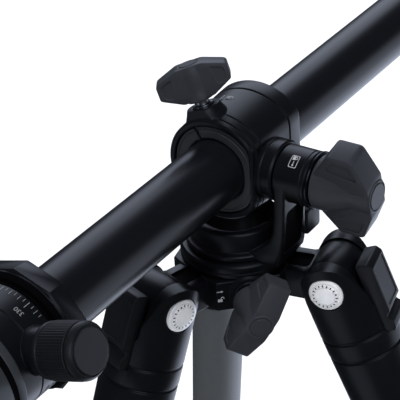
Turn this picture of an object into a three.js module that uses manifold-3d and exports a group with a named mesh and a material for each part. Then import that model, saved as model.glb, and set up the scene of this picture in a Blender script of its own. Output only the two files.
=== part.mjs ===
// Camera tripod with a swung-out centre column and a ball head, legs collapsed.
// Millimetres, +Z up. The model is laid out around the shoulder axis (Z through the spider hub)
// and moved at the end, so that its feet stand on z = 0 with its bounding box centred on the origin.
import * as THREE from "three";
import { mergeVertices } from "three/addons/utils/BufferGeometryUtils.js";
import Module from "manifold-3d";

const wasm = await Module();
wasm.setup();

// ---- driving dimensions -------------------------------------------------------------------
const RUN_GAP = 0.3; // between pieces that turn or slide on each other
const SEAT_GAP = 0.3; // between pieces that are fastened face to face
const ROUND = 24; // sides of a large turned piece
const SMALL_ROUND = 16; // sides of a leg tube or a knob

// shoulder
const HUB_HEIGHT = 15;
const HUB_RADIUS = 27;
const HUB_FLAT = 25; // distance of the three flats between the arms from the axis
const LEG_TOP_GAP = 0.9; // between the hub's rim and a leg top's side
const HINGE_HEIGHT = 9.9; // leg hinge above the hub's underside
const ARM_WIDTH = 19;
const KNUCKLE_RADIUS = 11.4;
const FIRST_LEG_AZIMUTH = 42.9; // degrees from the column's direction
const LEG_COUNT = 3;
const LEG_SPREAD = 21.1; // degrees from the vertical

// swivel on the shoulder
const BEARING_RADIUS = 25.3;
const BEARING_HEIGHT = 6.4;
const STEP_RADIUS = 22.3;
const STEP_HEIGHT = 2.8;
const TURRET_RADIUS = 19.7;
const TURRET_TOP = 34.7; // above the hub's underside
const STUB_RADIUS = 16.2;
const RETAINER_RADIUS = 19;
const RETAINER_HEIGHT = 3;

// centre column and its swing joint
const COLUMN_RADIUS = 14;
const COLUMN_WALL = 1.6;
const COLUMN_HEIGHT = 61.7; // column axis above the hub's underside
const COLUMN_HEAD_END = 131.5; // from the shoulder axis to the head's flange
const COLUMN_TAIL_END = 232;
const COLLAR_FRONT = 13.6; // collar's reach towards the head
const COLLAR_BACK = 23.8; // collar's reach towards the tail
const COLLAR_FRONT_RADIUS = 23.2;
const COLLAR_BACK_RADIUS = 25.4;
const COLLAR_FLAT = 19.4; // flat side, from the column axis
const SLEEVE_WALL = 2.7;
const SLEEVE_LIP_RADIUS = 20.2;
const SLEEVE_LIP = 1.2;
const SLEEVE_SPLIT = 2;
const SLEEVE_SPLIT_ANGLE = 118; // degrees round the column from the pivot side

const SADDLE_START = -1; // turret is dished from here to pass the collar's tail end
const PIVOT_RING_RADIUS = 13.2;
const PIVOT_BOSS_RADIUS = 12;
const PIVOT_BOLT_RADIUS = 5;
const ARM_INNER = 26.7; // bracket arm's inner face from the column axis
const ARM_OUTER = 31;
const ARM_FRONT = 11.5;
const ARM_BACK = 6;
const BOSS_END = 41.5;
const TRIM_RING = 1.3;
const BRACKET_REACH = 32.2; // the swivel stays inside this radius to pass the leg tops

// wing knobs: [shank radius, height, half span, thickness, end disc radius]
const TILT_KNOB = { shank: 11.6, height: 26, halfSpan: 21.5, thickness: 13, disc: 6.2, turn: 105 };
const COLUMN_KNOB = { shank: 6.2, height: 16, halfSpan: 15.5, thickness: 11, disc: 4.5, turn: -54 };
const PAN_KNOB = { shank: 8.2, height: 20, halfSpan: 18.5, thickness: 11.5, disc: 4.8, turn: -33 };
const SCREW_RADIUS = 3;
const COLUMN_KNOB_PLACE = 6.2; // towards the head from the shoulder axis
const COLUMN_KNOB_LEAN = 20; // degrees from the vertical
const COLUMN_KNOB_BASE = 30; // from the column axis
const PAD_RADIUS = 7.2;
const PAD_TOP = 27;
const PAN_KNOB_BASE = 31.6; // from the shoulder axis
const PAN_BOSS_TOP = 29;

// legs: distances run down each leg from its hinge
const CASTING_RADIUS = 17.6;
const CASTING_END = 66;
const EAR_FACE = 17.2; // half width over the pin's cap seats
const EAR_RADIUS = 12; // round top of the two ears
const EAR_TAPER = 18; // the leg top narrows to its ears from here
const FORK_DEPTH = 15;
const CAP_RADIUS = 7.6;
const CAP_RISE = 1.9;
const PIN_RADIUS = 3.9;
const TAB_HALF_WIDTH = 8.2;
const TAB_TOP = -6;
const TAB_END = 28;
const TAB_FACE = 20.5; // outer face of the tab from the leg's axis
const TAB_THICKNESS = 7.5;
const TUBE_WALL = 1.5;
const TUBE_RADII = [13.5, 11.6, 9.4];
const TUBE_STARTS = [31, 60, 90];
const TUBE_ENDS = [334, 366.4, 392];
const LOCK_RADII = [16.2, 14.6];
const LOCK_OVERLAP = 16;
const LOCK_LENGTH = 31.6;
const FOOT_RADIUS = 12.5;
const FOOT_LENGTH = 28;

// ball head: distances run outwards from the column's end
const FLANGE_RADIUS = 25;
const FLANGE_FLARE = 26.4;
const FLANGE_HEIGHT = 8.7;
const PLUG_LENGTH = 14;
const STEP_RING_HEIGHT = 3.2;
const BASE_RADIUS = 22.3;
const BASE_HEIGHT = 22;
const HEAD_KNOB_PLACE = 22.5;
const HEAD_KNOB_RISE = 20; // degrees above the horizontal
const HEAD_KNOB_RADIUS = 10.4;
const HEAD_KNOB_LENGTH = 19;
const HEAD_KNOB_BASE = 27.6; // from the head's axis
const HOUSING_RADIUS = 25.2;
const HOUSING_MOUTH_RADIUS = 19.5;
const HOUSING_TOP = 76;
const BALL_PLACE = 66;
const BALL_RADIUS = 17;
const STEM_RADIUS = 5.5;
const STEM_END = 99;
const BALL_KNOB_PLACE = 56;
const BALL_KNOB_RADIUS = 12;
const BALL_KNOB_LENGTH = 20;
const CLAMP_WIDTH = 48; // along the plate
const CLAMP_HEIGHT = 13;
const CLAMP_NECK_RADIUS = 11.4;
const JAW_DEPTH = 10;
const PLATE_WIDTH = 38;
const PLATE_LENGTH = 50;
const PLATE_HEIGHT = 9;
const PAD_HEIGHT = 1.4;
const DOVETAIL = 3;
const CLAMP_KNOB_RADIUS = 9;
const CLAMP_KNOB_LENGTH = 14;
const CAMERA_SCREW_RADIUS = 3.1; // quarter inch thread
const CAMERA_SCREW_RISE = 4.5;

// ---- solids ---------------------------------------------------------------------------------
const radians = THREE.MathUtils.degToRad;

/** Position-only mesh with shared vertices, no slivers and its faces pointing out. */
function closed(geometry) {
  const bare = geometry.clone();
  bare.deleteAttribute("normal");
  bare.deleteAttribute("uv");
  const welded = mergeVertices(bare, 1e-3);
  const corners = Array.from(welded.index.array);
  const kept = [];
  for (let i = 0; i < corners.length; i += 3) {
    const [a, b, c] = corners.slice(i, i + 3);
    if (a !== b && b !== c && c !== a) kept.push(a, b, c);
  }
  const at = (i) => new THREE.Vector3().fromBufferAttribute(welded.attributes.position, i);
  let volume = 0;
  for (let i = 0; i < kept.length; i += 3) {
    volume += at(kept[i]).dot(at(kept[i + 1]).cross(at(kept[i + 2])));
  }
  if (volume < 0) {
    for (let i = 0; i < kept.length; i += 3) [kept[i], kept[i + 1]] = [kept[i + 1], kept[i]];
  }
  welded.setIndex(kept);
  return welded;
}

/** A closed geometry as a solid that can be joined and cut. */
function solid(geometry) {
  const mesh = closed(geometry);
  return new wasm.Manifold(new wasm.Mesh({
    numProp: 3,
    vertProperties: new Float32Array(mesh.attributes.position.array),
    triVerts: new Uint32Array(mesh.index.array),
  }));
}

/** The surface of a solid as a geometry. */
function surface(body) {
  const mesh = body.getMesh();
  const geometry = new THREE.BufferGeometry();
  geometry.setAttribute("position", new THREE.BufferAttribute(new Float32Array(mesh.vertProperties), 3));
  geometry.setIndex(Array.from(mesh.triVerts));
  geometry.computeVertexNormals();
  return geometry;
}

/** One body from a list of geometries to join and a list of geometries to cut away. */
function shaped(joined, cut = []) {
  let body = solid(joined[0]);
  for (const piece of joined.slice(1)) body = body.add(solid(piece));
  for (const piece of cut) body = body.subtract(solid(piece));
  return surface(body);
}

/** A profile of [radius, height] points turned about Z. */
function turned(profile, sides = ROUND) {
  const points = profile.map(([radius, height]) => new THREE.Vector2(radius, height));
  return new THREE.LatheGeometry(points, sides).rotateX(Math.PI / 2);
}

function rod(radius, from, to, sides = SMALL_ROUND) {
  return turned([[0, from], [radius, from], [radius, to], [0, to]], sides);
}

function tube(radius, bore, from, to, sides = ROUND) {
  return turned([[bore, from], [radius, from], [radius, to], [bore, to], [bore, from]], sides);
}

/** A box given by its lowest and highest corners. */
function block(low, high) {
  const size = high.map((value, i) => value - low[i]);
  const middle = high.map((value, i) => (value + low[i]) / 2);
  return new THREE.BoxGeometry(...size).translate(...middle);
}

/** A flat outline in the XY plane given a thickness along Z, centred on z = 0. */
function slab(outline, thickness) {
  const shape = new THREE.Shape(outline.map(([x, y]) => new THREE.Vector2(x, y)));
  const options = { depth: thickness, bevelEnabled: false };
  return new THREE.ExtrudeGeometry(shape, options).translate(0, 0, -thickness / 2);
}

/** Turns a geometry built about +Z so that its axis points along +X. */
const alongX = (geometry) => geometry.rotateY(Math.PI / 2);

/** Turns a geometry built about +Z so that its axis points along -Y. */
const alongMinusY = (geometry) => geometry.rotateX(Math.PI / 2);

/** Turns a geometry built about +Z so that its axis points along the compass angle. */
const outwards = (geometry, azimuth) => geometry.rotateY(Math.PI / 2).rotateZ(radians(azimuth));

// ---- nodes ----------------------------------------------------------------------------------
const FINISHES = {
  satin: { color: 0x14161b, roughness: 0.42, metalness: 0.75 },
  tube: { color: 0x121317, roughness: 0.36, metalness: 0.8 },
  grey: { color: 0x565b5e, roughness: 0.45, metalness: 0.55 },
  plastic: { color: 0x1a1c20, roughness: 0.6, metalness: 0.05 },
  rubber: { color: 0x101113, roughness: 0.85, metalness: 0 },
  chrome: { color: 0xd5d7d9, roughness: 0.14, metalness: 1 },
  steel: { color: 0x9b9ea1, roughness: 0.3, metalness: 1 },
  vial: { color: 0xb8d84a, roughness: 0.1, metalness: 0 },
};

function node(name, geometry, finish) {
  const mesh = new THREE.Mesh(geometry, new THREE.MeshStandardMaterial(FINISHES[finish]));
  mesh.name = name;
  return mesh;
}

function group(...children) {
  const result = new THREE.Group();
  result.add(...children);
  return result;
}

// ---- knobs ----------------------------------------------------------------------------------
/** Wing knob about +Z: a round shank, two wings and a low crown with a flat end disc. */
function wingKnob({ shank, height, halfSpan, thickness, disc, turn }, boreDepth) {
  const neck = 0.22 * height;
  const shoulder = 0.8 * height;
  const core = turned([[0, 0], [shank, 0], [shank, neck], [thickness * 0.62, shoulder],
    [disc, height], [0, height]], SMALL_ROUND);
  const wings = slab([
    [-shank * 0.8, neck * 0.9], [shank * 0.8, neck * 0.9],
    [halfSpan, 0.38 * height], [halfSpan, shoulder],
    [disc, height - 0.3], [-disc, height - 0.3],
    [-halfSpan, shoulder], [-halfSpan, 0.38 * height],
  ], thickness).rotateX(Math.PI / 2).rotateZ(radians(turn));
  return shaped([core, wings], [rod(SCREW_RADIUS + RUN_GAP, -1, boreDepth)]);
}

/** Round grip knob about +Z with a chamfered flat end and a bore in its base. */
function gripKnob(radius, length, bore, boreDepth) {
  const chamfer = 1.2;
  return turned([[bore, 0], [radius, 0], [radius, length - chamfer], [radius - chamfer, length],
    [0, length], [0, boreDepth], [bore, boreDepth], [bore, 0]], SMALL_ROUND);
}

// ---- shoulder -------------------------------------------------------------------------------
const LEG_AZIMUTHS = Array.from({ length: LEG_COUNT }, (_, i) => FIRST_LEG_AZIMUTH + (i * 360) / LEG_COUNT);
const PAN_KNOB_AZIMUTH = FIRST_LEG_AZIMUTH + 180;
const HUB_BORE = STUB_RADIUS + 2 * RUN_GAP;
const PAN_SCREW_HEIGHT = HINGE_HEIGHT - 1.6;

const HINGE_RADIUS = HUB_RADIUS + CASTING_RADIUS + LEG_TOP_GAP; // leg hinge from the shoulder axis

function shoulderHub() {
  const half = ARM_WIDTH / 2;
  const flats = [];
  const arms = [];
  const pinBores = [];
  for (const azimuth of LEG_AZIMUTHS) {
    const turn = radians(azimuth);
    const flat = block([HUB_FLAT, -HUB_RADIUS, -1], [HUB_RADIUS + 1, HUB_RADIUS, HUB_HEIGHT + 1]);
    flats.push(flat.rotateZ(turn + Math.PI));
    arms.push(block([HUB_BORE + 2, -half, 0.6], [HINGE_RADIUS, half, HUB_HEIGHT - 0.6]).rotateZ(turn));
    const knuckle = rod(KNUCKLE_RADIUS, -half, half).rotateX(Math.PI / 2);
    arms.push(knuckle.translate(HINGE_RADIUS, 0, HINGE_HEIGHT).rotateZ(turn));
    const bore = rod(PIN_RADIUS + RUN_GAP, -half - 1, half + 1, 16).rotateX(Math.PI / 2);
    pinBores.push(bore.translate(HINGE_RADIUS, 0, HINGE_HEIGHT).rotateZ(turn));
  }
  const rim = shaped([rod(HUB_RADIUS, 0, HUB_HEIGHT, ROUND)], flats);
  const boss = outwards(rod(7, HUB_BORE + 1, PAN_BOSS_TOP), PAN_KNOB_AZIMUTH);
  const screwBore = outwards(rod(SCREW_RADIUS + RUN_GAP, 0, PAN_BOSS_TOP + 1, 12), PAN_KNOB_AZIMUTH);
  const middleBore = rod(HUB_BORE, -1, HUB_HEIGHT + 1, ROUND);
  const pocket = rod(RETAINER_RADIUS + RUN_GAP, -1, RETAINER_HEIGHT + 2 * RUN_GAP, ROUND);
  const reach = HINGE_RADIUS + 2 * KNUCKLE_RADIUS;
  const underside = block([-reach, -reach, -KNUCKLE_RADIUS], [reach, reach, 0]);
  return shaped([rim, ...arms, boss.translate(0, 0, PAN_SCREW_HEIGHT)],
    [...pinBores, screwBore.translate(0, 0, PAN_SCREW_HEIGHT), middleBore, pocket, underside]);
}

const BEARING_BOTTOM = HUB_HEIGHT + SEAT_GAP;
const BEARING_TOP = BEARING_BOTTOM + BEARING_HEIGHT;
const STEP_BOTTOM = BEARING_TOP + RUN_GAP;
const STEP_TOP = STEP_BOTTOM + STEP_HEIGHT;
const COLUMN_PATH = COLUMN_RADIUS + 2 * RUN_GAP; // bore that the upright column would pass

function shoulder() {
  const bearing = turned([[HUB_BORE, BEARING_BOTTOM], [BEARING_RADIUS, BEARING_BOTTOM],
    [BEARING_RADIUS, BEARING_TOP - 1], [BEARING_RADIUS - 1, BEARING_TOP], [HUB_BORE, BEARING_TOP],
    [HUB_BORE, BEARING_BOTTOM]]);
  return group(node("shoulder_hub", shoulderHub(), "satin"), node("pan_bearing_ring", bearing, "satin"));
}

function panClamp() {
  const height = PAN_SCREW_HEIGHT;
  const tip = HUB_BORE + 0.5;
  const base = PAN_KNOB_BASE;
  const screw = outwards(rod(SCREW_RADIUS, tip, base + 8, 12), PAN_KNOB_AZIMUTH).translate(0, 0, height);
  const knob = wingKnob(PAN_KNOB, 9).translate(0, 0, base);
  const placed = outwards(knob, PAN_KNOB_AZIMUTH).translate(0, 0, height);
  return group(node("pan_clamp_screw", screw, "steel"), node("pan_clamp_knob", placed, "satin"));
}

// ---- swivel bracket -------------------------------------------------------------------------
const FOOT_TOP = 28.7; // bracket foot's upper face
const FOOT_BOTTOM = STEP_BOTTOM + 0.2;
const SWEEP_RADIUS = Math.hypot(COLLAR_BACK, COLLAR_BACK_RADIUS) + 2 * RUN_GAP;

/** The bracket's foot and arm, as an outline in Y and Z given a width along X. */
function bracketArm() {
  const fillet = 6;
  const outline = [[-8, FOOT_BOTTOM], [-ARM_OUTER, FOOT_BOTTOM], [-ARM_OUTER, COLUMN_HEIGHT - 2]];
  outline.push([-ARM_INNER, COLUMN_HEIGHT - 2]);
  for (const angle of [0, 30, 60, 90]) {
    const turn = radians(angle);
    outline.push([-ARM_INNER + fillet * (1 - Math.cos(turn)), FOOT_TOP + fillet * (1 - Math.sin(turn))]);
  }
  outline.push([-8, FOOT_TOP]);
  const width = ARM_FRONT + ARM_BACK;
  const plate = slab(outline, width).rotateX(Math.PI / 2).rotateZ(Math.PI / 2);
  return plate.translate((ARM_BACK - ARM_FRONT) / 2, 0, 0);
}

function swivelBracket() {
  const turret = turned([[0, STEP_BOTTOM], [STEP_RADIUS, STEP_BOTTOM], [STEP_RADIUS, STEP_TOP - 0.6],
    [TURRET_RADIUS, STEP_TOP], [TURRET_RADIUS, TURRET_TOP - 0.8], [TURRET_RADIUS - 0.8, TURRET_TOP],
    [0, TURRET_TOP]]);
  const stub = rod(STUB_RADIUS, SEAT_GAP, STEP_BOTTOM + 1, ROUND);
  const boss = alongMinusY(rod(PIVOT_BOSS_RADIUS, ARM_INNER, BOSS_END, ROUND)).translate(0, 0, COLUMN_HEIGHT);
  const reach = rod(BRACKET_REACH, 0, COLUMN_HEIGHT - 30, ROUND);
  const low = solid(bracketArm()).intersect(solid(reach));
  const high = solid(bracketArm()).intersect(solid(block([-40, -40, COLUMN_HEIGHT - 30], [40, 0, 99])));
  const arm = surface(low.add(high));
  const lug = block([ARM_BACK - 2, -ARM_OUTER + 2, 30], [ARM_BACK + 2, -ARM_INNER + 3.5, 36]);
  const column = rod(COLUMN_PATH, -1, 99, ROUND);
  const bolt = alongMinusY(rod(PIVOT_BOLT_RADIUS + RUN_GAP, ARM_INNER - 1, BOSS_END + 1, SMALL_ROUND));
  const sweep = solid(alongMinusY(rod(SWEEP_RADIUS, -60, 60, 40)).translate(0, 0, COLUMN_HEIGHT));
  const swept = surface(sweep.intersect(solid(block([SADDLE_START, -ARM_INNER + 6, 0], [60, 60, 99]))));
  return shaped([turret, stub, arm, boss, lug], [column, bolt.translate(0, 0, COLUMN_HEIGHT), swept]);
}

function swingCatch() {
  const outline = [[8.4, -17], [20, -17], [20, -7], [15, -5], [8.4, -5]];
  const body = slab(outline, 8.6).rotateX(Math.PI / 2);
  return body.translate(0, -26.6, 43);
}

function swivel() {
  const retainer = tube(RETAINER_RADIUS, STUB_RADIUS + RUN_GAP, SEAT_GAP, RETAINER_HEIGHT);
  return group(
    node("swivel_bracket", swivelBracket(), "satin"),
    node("swivel_retainer", retainer, "plastic"),
    node("swing_catch", swingCatch(), "plastic"),
  );
}

// ---- column collar --------------------------------------------------------------------------
const SLEEVE_BORE = COLUMN_RADIUS + RUN_GAP;
const SLEEVE_RADIUS = SLEEVE_BORE + SLEEVE_WALL;
const LIP_FRONT = -COLLAR_FRONT + 0.4;

function leanOut(geometry) {
  return geometry.rotateX(-radians(COLUMN_KNOB_LEAN)).translate(-COLUMN_KNOB_PLACE, 0, 0);
}

function collarHousing() {
  const bore = SLEEVE_RADIUS + SEAT_GAP;
  const shell = alongX(turned([[bore, -COLLAR_FRONT + 2], [SLEEVE_LIP_RADIUS + SEAT_GAP, -COLLAR_FRONT + 2],
    [SLEEVE_LIP_RADIUS + SEAT_GAP, -COLLAR_FRONT], [COLLAR_FRONT_RADIUS - 1, -COLLAR_FRONT],
    [COLLAR_FRONT_RADIUS, -COLLAR_FRONT + 1], [COLLAR_BACK_RADIUS, COLLAR_BACK - 0.6],
    [COLLAR_BACK_RADIUS - 0.6, COLLAR_BACK], [bore, COLLAR_BACK], [bore, -COLLAR_FRONT + 2]]));
  const flat = block([-60, -60, -60], [60, -COLLAR_FLAT, 60]);
  const pad = leanOut(rod(PAD_RADIUS, bore + 1, PAD_TOP, SMALL_ROUND));
  const screw = leanOut(rod(SCREW_RADIUS + RUN_GAP, 0, PAD_TOP + 1, 16));
  const bolt = alongMinusY(rod(PIVOT_BOLT_RADIUS + RUN_GAP, 0, 40, SMALL_ROUND)).translate(0, 0, 0);
  const inside = alongX(rod(bore, -COLLAR_FRONT - 1, COLLAR_BACK + 1, ROUND));
  const lipSeat = alongX(rod(SLEEVE_LIP_RADIUS + SEAT_GAP, -COLLAR_FRONT - 4, -COLLAR_FRONT + 2, ROUND));
  return shaped([shell, pad], [flat, screw, bolt, inside, lipSeat]);
}

function collarSleeve() {
  const body = alongX(turned([[SLEEVE_BORE, LIP_FRONT], [SLEEVE_LIP_RADIUS - 0.4, LIP_FRONT],
    [SLEEVE_LIP_RADIUS, LIP_FRONT + 0.4], [SLEEVE_LIP_RADIUS, LIP_FRONT + SLEEVE_LIP],
    [SLEEVE_RADIUS, LIP_FRONT + SLEEVE_LIP], [SLEEVE_RADIUS, COLLAR_BACK - 0.4],
    [SLEEVE_BORE, COLLAR_BACK - 0.4], [SLEEVE_BORE, LIP_FRONT]]));
  const split = block([-60, -SLEEVE_SPLIT / 2, 0], [60, SLEEVE_SPLIT / 2, 60]);
  const flat = block([-60, -60, -60], [60, -COLLAR_FLAT + 1.4, 60]);
  return shaped([body], [split.rotateX(radians(90 - SLEEVE_SPLIT_ANGLE)), flat]);
}

function pivotBolt() {
  const from = SLEEVE_RADIUS + 2 * SEAT_GAP;
  return alongMinusY(rod(PIVOT_BOLT_RADIUS, from, BOSS_END + 12));
}

function collar() {
  const ring = alongMinusY(tube(PIVOT_RING_RADIUS, PIVOT_BOLT_RADIUS + RUN_GAP, COLLAR_FLAT + SEAT_GAP,
    ARM_INNER - RUN_GAP));
  const parts = group(
    node("collar_housing", collarHousing(), "satin"),
    node("collar_sleeve", collarSleeve(), "plastic"),
    node("pivot_ring", ring, "satin"),
    node("pivot_bolt", pivotBolt(), "steel"),
  );
  parts.position.z = COLUMN_HEIGHT;
  return parts;
}

function tiltClamp() {
  const from = BOSS_END + RUN_GAP;
  const trim = alongMinusY(tube(PIVOT_BOSS_RADIUS + 0.4, PIVOT_BOLT_RADIUS + RUN_GAP, from, from + TRIM_RING));
  const base = from + TRIM_RING + RUN_GAP;
  const socket = rod(PIVOT_BOLT_RADIUS + RUN_GAP, -1, 13);
  const knob = alongMinusY(shaped([wingKnob(TILT_KNOB, 13)], [socket]).translate(0, 0, base));
  const parts = group(node("tilt_trim_ring", trim, "steel"), node("tilt_knob", knob, "satin"));
  parts.position.z = COLUMN_HEIGHT;
  return parts;
}

function columnClamp() {
  const tip = SLEEVE_RADIUS + 2 * SEAT_GAP;
  const screw = leanOut(rod(SCREW_RADIUS, tip, COLUMN_KNOB_BASE + 7, 16));
  const knob = leanOut(wingKnob(COLUMN_KNOB, 8).translate(0, 0, COLUMN_KNOB_BASE));
  const parts = group(node("column_clamp_screw", screw, "steel"), node("column_clamp_knob", knob, "satin"));
  parts.position.z = COLUMN_HEIGHT;
  return parts;
}

// ---- centre column --------------------------------------------------------------------------
const COLUMN_BORE = COLUMN_RADIUS - COLUMN_WALL;
const TAIL_CAP_RADIUS = 15.6;
const TAIL_LUG = 6;
const RING_WIRE = 1.6;
const RING_RADIUS = 12;

function centreColumn() {
  const tubeBody = alongX(tube(COLUMN_RADIUS, COLUMN_BORE, -COLUMN_HEAD_END + SEAT_GAP, COLUMN_TAIL_END));
  const plug = COLUMN_BORE - SEAT_GAP;
  const start = COLUMN_TAIL_END + SEAT_GAP;
  const cap = alongX(turned([[0, start - PLUG_LENGTH], [plug, start - PLUG_LENGTH], [plug, start],
    [TAIL_CAP_RADIUS, start], [TAIL_CAP_RADIUS, start + 2.5], [TAIL_CAP_RADIUS - 1.5, start + 4],
    [0, start + 4]]));
  const eye = start + 4 + TAIL_LUG;
  const lug = block([start + 3, -2, -4.5], [eye + 4, 2, 4.5]);
  const hole = alongMinusY(rod(RING_WIRE + 2 * RUN_GAP, -9, 9, 16)).translate(eye, 0, 0);
  const capBody = shaped([cap, lug], [hole]);
  const parts = group(
    node("center_column", tubeBody, "tube"),
    node("column_tail_cap", capBody, "plastic"),
    node("ballast_ring", ballastRing().translate(eye, 0, 0), "steel"),
  );
  parts.position.z = COLUMN_HEIGHT;
  return parts;
}

/** Closed wire bail that hangs from a straight pin through the tail lug. */
function ballastRing() {
  const half = RING_RADIUS * 0.75;
  const path = new THREE.CurvePath();
  const corner = (y, z) => new THREE.Vector3(0, y, z);
  const bend = 5;
  path.add(new THREE.LineCurve3(corner(-half + bend, 0), corner(half - bend, 0)));
  path.add(new THREE.QuadraticBezierCurve3(corner(half - bend, 0), corner(half, 0), corner(half, -bend)));
  path.add(new THREE.LineCurve3(corner(half, -bend), corner(half, -RING_RADIUS)));
  const low = -RING_RADIUS - half * 1.25;
  path.add(new THREE.CubicBezierCurve3(corner(half, -RING_RADIUS), corner(half, low),
    corner(-half, low), corner(-half, -RING_RADIUS)));
  path.add(new THREE.LineCurve3(corner(-half, -RING_RADIUS), corner(-half, -bend)));
  path.add(new THREE.QuadraticBezierCurve3(corner(-half, -bend), corner(-half, 0), corner(-half + bend, 0)));
  const points = path.getSpacedPoints(30).slice(0, -1);
  return wireLoop(points, RING_WIRE, 6);
}

/** Round wire along a closed flat loop of points in the YZ plane. */
function wireLoop(points, radius, sides) {
  const count = points.length;
  const positions = [];
  const index = [];
  const normal = new THREE.Vector3(1, 0, 0);
  for (let i = 0; i < count; i += 1) {
    const tangent = points[(i + 1) % count].clone().sub(points[(i + count - 1) % count]).normalize();
    const side = new THREE.Vector3().crossVectors(tangent, normal);
    for (let j = 0; j < sides; j += 1) {
      const angle = (j * 2 * Math.PI) / sides;
      const point = points[i].clone().addScaledVector(side, radius * Math.cos(angle));
      point.addScaledVector(normal, radius * Math.sin(angle));
      positions.push(point.x, point.y, point.z);
      const next = (j + 1) % sides;
      const [a, b] = [i * sides + j, i * sides + next];
      const [c, d] = [((i + 1) % count) * sides + j, ((i + 1) % count) * sides + next];
      index.push(a, b, c, b, d, c);
    }
  }
  const geometry = new THREE.BufferGeometry();
  geometry.setAttribute("position", new THREE.Float32BufferAttribute(positions, 3));
  geometry.setIndex(index);
  return closed(geometry);
}

// ---- ball head, built about +Z with z = 0 at the column's end -------------------------------
const STEP_RING_BOTTOM = FLANGE_HEIGHT + 1 + SEAT_GAP;
const STEP_RING_TOP = STEP_RING_BOTTOM + STEP_RING_HEIGHT;
const BASE_BOTTOM = STEP_RING_TOP + RUN_GAP;
const BASE_TOP = BASE_BOTTOM + BASE_HEIGHT;
const HOUSING_BOTTOM = BASE_TOP + SEAT_GAP;
const STUD_RADIUS = 4.8; // three-eighths thread

/** Turns a radial piece built about +Z to leave the head's axis on the side of the tilt knob. */
function sideways(geometry, place, turn) {
  return geometry.rotateY(Math.PI / 2).rotateZ(radians(turn)).translate(0, 0, place);
}

// The head's own X axis points up and its Y axis to the side away from the tilt knob.
const HEAD_KNOB_TURN = -90 + HEAD_KNOB_RISE;
const BALL_KNOB_TURN = HEAD_KNOB_TURN + 180;

function headFlange() {
  const plug = COLUMN_BORE - SEAT_GAP;
  const stud = STUD_RADIUS + SEAT_GAP;
  return turned([[stud, -PLUG_LENGTH], [plug, -PLUG_LENGTH], [plug, 0], [FLANGE_RADIUS, 0],
    [FLANGE_FLARE, FLANGE_HEIGHT], [FLANGE_FLARE - 1, FLANGE_HEIGHT + 1], [stud, FLANGE_HEIGHT + 1],
    [stud, -PLUG_LENGTH]]);
}

function headBase() {
  const stud = STUD_RADIUS + SEAT_GAP;
  const body = turned([[stud, BASE_BOTTOM], [BASE_RADIUS, BASE_BOTTOM], [BASE_RADIUS, BASE_TOP - 0.8],
    [BASE_RADIUS - 0.8, BASE_TOP], [stud, BASE_TOP], [stud, BASE_BOTTOM]]);
  const boss = sideways(rod(8, BASE_RADIUS - 4, HEAD_KNOB_BASE - 1, SMALL_ROUND), HEAD_KNOB_PLACE, HEAD_KNOB_TURN);
  const bore = sideways(rod(SCREW_RADIUS + RUN_GAP, BASE_RADIUS - 8, HEAD_KNOB_BASE, 16), HEAD_KNOB_PLACE,
    HEAD_KNOB_TURN);
  return shaped([body, boss], [bore]);
}

/** A grip knob and its clamp screw as one turned piece on a radial axis. */
function radialKnob(radius, length, base, tip, place, turn) {
  const knob = turned([[0, tip], [SCREW_RADIUS, tip], [SCREW_RADIUS, base], [radius, base],
    [radius, base + length - 1.2], [radius - 1.2, base + length], [0, base + length]], SMALL_ROUND);
  return sideways(knob, place, turn);
}

const SOCKET_RADIUS = BALL_RADIUS + RUN_GAP;

function headHousing() {
  const floor = HOUSING_BOTTOM + 4;
  const shell = turned([[0, HOUSING_BOTTOM], [HOUSING_RADIUS, HOUSING_BOTTOM],
    [HOUSING_RADIUS, BALL_PLACE], [HOUSING_MOUTH_RADIUS, HOUSING_TOP], [0, HOUSING_TOP]]);
  const socket = turned([[0, floor], [SOCKET_RADIUS, floor + 4], [SOCKET_RADIUS, BALL_PLACE],
    ...[15, 30, 42].map((angle) => [SOCKET_RADIUS * Math.cos(radians(angle)),
      BALL_PLACE + SOCKET_RADIUS * Math.sin(radians(angle))]),
    [SOCKET_RADIUS * Math.cos(radians(42)), HOUSING_TOP + 1], [0, HOUSING_TOP + 1]]);
  const halfNotch = STEM_RADIUS + 1.4;
  const notch = block([0, -halfNotch, BALL_PLACE], [HOUSING_RADIUS + 4, halfNotch, HOUSING_TOP + 1]);
  const notchRound = rod(halfNotch, 0, HOUSING_RADIUS + 4).rotateY(Math.PI / 2).translate(0, 0, BALL_PLACE);
  const screw = sideways(rod(SCREW_RADIUS + RUN_GAP, 0, 60, 16), BALL_KNOB_PLACE, BALL_KNOB_TURN);
  const seat = sideways(rod(9, HOUSING_RADIUS - 6, HOUSING_RADIUS + 3, SMALL_ROUND), BALL_KNOB_PLACE,
    BALL_KNOB_TURN);
  return shaped([shell, seat], [socket, notch, notchRound, screw]);
}

function headBall() {
  const ball = new THREE.SphereGeometry(BALL_RADIUS, ROUND, 12).rotateX(Math.PI / 2);
  const stem = rod(STEM_RADIUS, BALL_RADIUS - 4, STEM_END - BALL_PLACE, SMALL_ROUND);
  return shaped([ball, stem]).translate(0, 0, BALL_PLACE);
}

const CLAMP_BOTTOM = STEM_END - 5;
const CLAMP_TOP = CLAMP_BOTTOM + CLAMP_HEIGHT;
const CLAMP_FLOOR = CLAMP_TOP - 6;
const DOVETAIL_TOP = CLAMP_TOP + 1;

/** Cross-section of the quick-release plate with its dovetail, in Y and Z. */
function plateOutline(spare) {
  const half = PLATE_WIDTH / 2 + spare;
  const low = CLAMP_FLOOR + RUN_GAP - spare;
  const waist = DOVETAIL_TOP + 0.4;
  const top = CLAMP_FLOOR + RUN_GAP + PLATE_HEIGHT + spare;
  return [[-half, low], [half, low], [half - DOVETAIL, waist], [half, waist], [half, top],
    [-half, top], [-half, waist], [-half + DOVETAIL, waist]];
}

function platePrism(length, spare) {
  return slab(plateOutline(spare), length).rotateX(Math.PI / 2).rotateZ(Math.PI / 2);
}

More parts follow.
